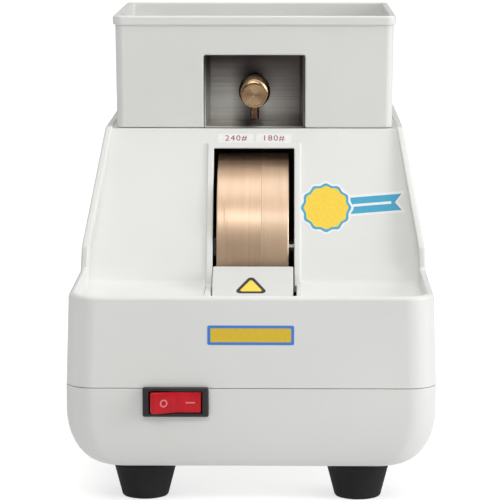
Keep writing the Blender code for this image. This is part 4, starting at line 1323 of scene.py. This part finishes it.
mesh = bpy.data.meshes.new("floor")
mesh.from_pydata([(-9, -9, 0), (9, -9, 0), (9, 9, 0), (-9, 9, 0)], [], [(0, 1, 2, 3)])
floor = bpy.data.objects.new("floor", mesh)
SCENE.collection.objects.link(floor)
floor.data.materials.append(floor_material())


def area(name, location, target, size_x, size_y, energy, colour=(1, 1, 1)):
    light = bpy.data.lights.new(name, "AREA")
    light.shape = "RECTANGLE"
    light.size, light.size_y = size_x, size_y
    light.energy = energy
    light.color = colour
    obj = bpy.data.objects.new(name, light)
    obj.location = location
    obj.rotation_euler = (Vector(target) - Vector(location)).to_track_quat("-Z", "Y").to_euler()
    SCENE.collection.objects.link(obj)
    return obj


centre = (0.0, 0.0, 0.12)
area("key", (-0.25, -1.55, 1.72), centre, 1.7, 0.42, KEY, (1.0, 0.99, 0.97))
area("top", (0.0, 0.15, 1.9), centre, 2.2, 1.6, TOP)
area("left", (-2.0, -0.5, 0.9), centre, 0.9, 1.4, LEFT)
area("right", (2.0, -0.7, 0.8), centre, 0.9, 1.4, RIGHT)

world = bpy.data.worlds.new("studio")
SCENE.world = world
world.use_nodes = True
wt = world.node_tree
background = wt.nodes["Background"]
coord = wt.nodes.new("ShaderNodeTexCoord")
split = wt.nodes.new("ShaderNodeSeparateXYZ")
wt.links.new(coord.outputs["Generated"], split.inputs["Vector"])
ramp = wt.nodes.new("ShaderNodeValToRGB")
wt.links.new(split.outputs["Z"], ramp.inputs["Fac"])
ramp.color_ramp.elements[0].position = 0.0
ramp.color_ramp.elements[0].color = (0.5 * SKY, 0.5 * SKY, 0.51 * SKY, 1)
ramp.color_ramp.elements[1].position = 0.55
ramp.color_ramp.elements[1].color = (SKY, SKY, SKY, 1)
path = wt.nodes.new("ShaderNodeLightPath")
choose = wt.nodes.new("ShaderNodeMix")
choose.data_type = "RGBA"
wt.links.new(path.outputs["Is Camera Ray"], choose.inputs["Factor"])
wt.links.new(ramp.outputs["Color"], choose.inputs["A"])
choose.inputs["B"].default_value = (1, 1, 1, 1)
wt.links.new(choose.outputs["Result"], background.inputs["Color"])
background.inputs["Strength"].default_value = 1.0

camera = bpy.data.cameras.new("camera")
camera.sensor_width = 36.0
camera.lens = 2654.93 * 36.0 / 500.0
camera.clip_start, camera.clip_end = 0.05, 50.0
eye = bpy.data.objects.new("camera", camera)
eye.location = put((16.757, -1221.31, 304.47))
eye.rotation_euler = (math.pi / 2 - 0.147499, 0.0, 0.013995)
SCENE.collection.objects.link(eye)
SCENE.camera = eye
SCENE.view_settings.view_transform = "Standard"
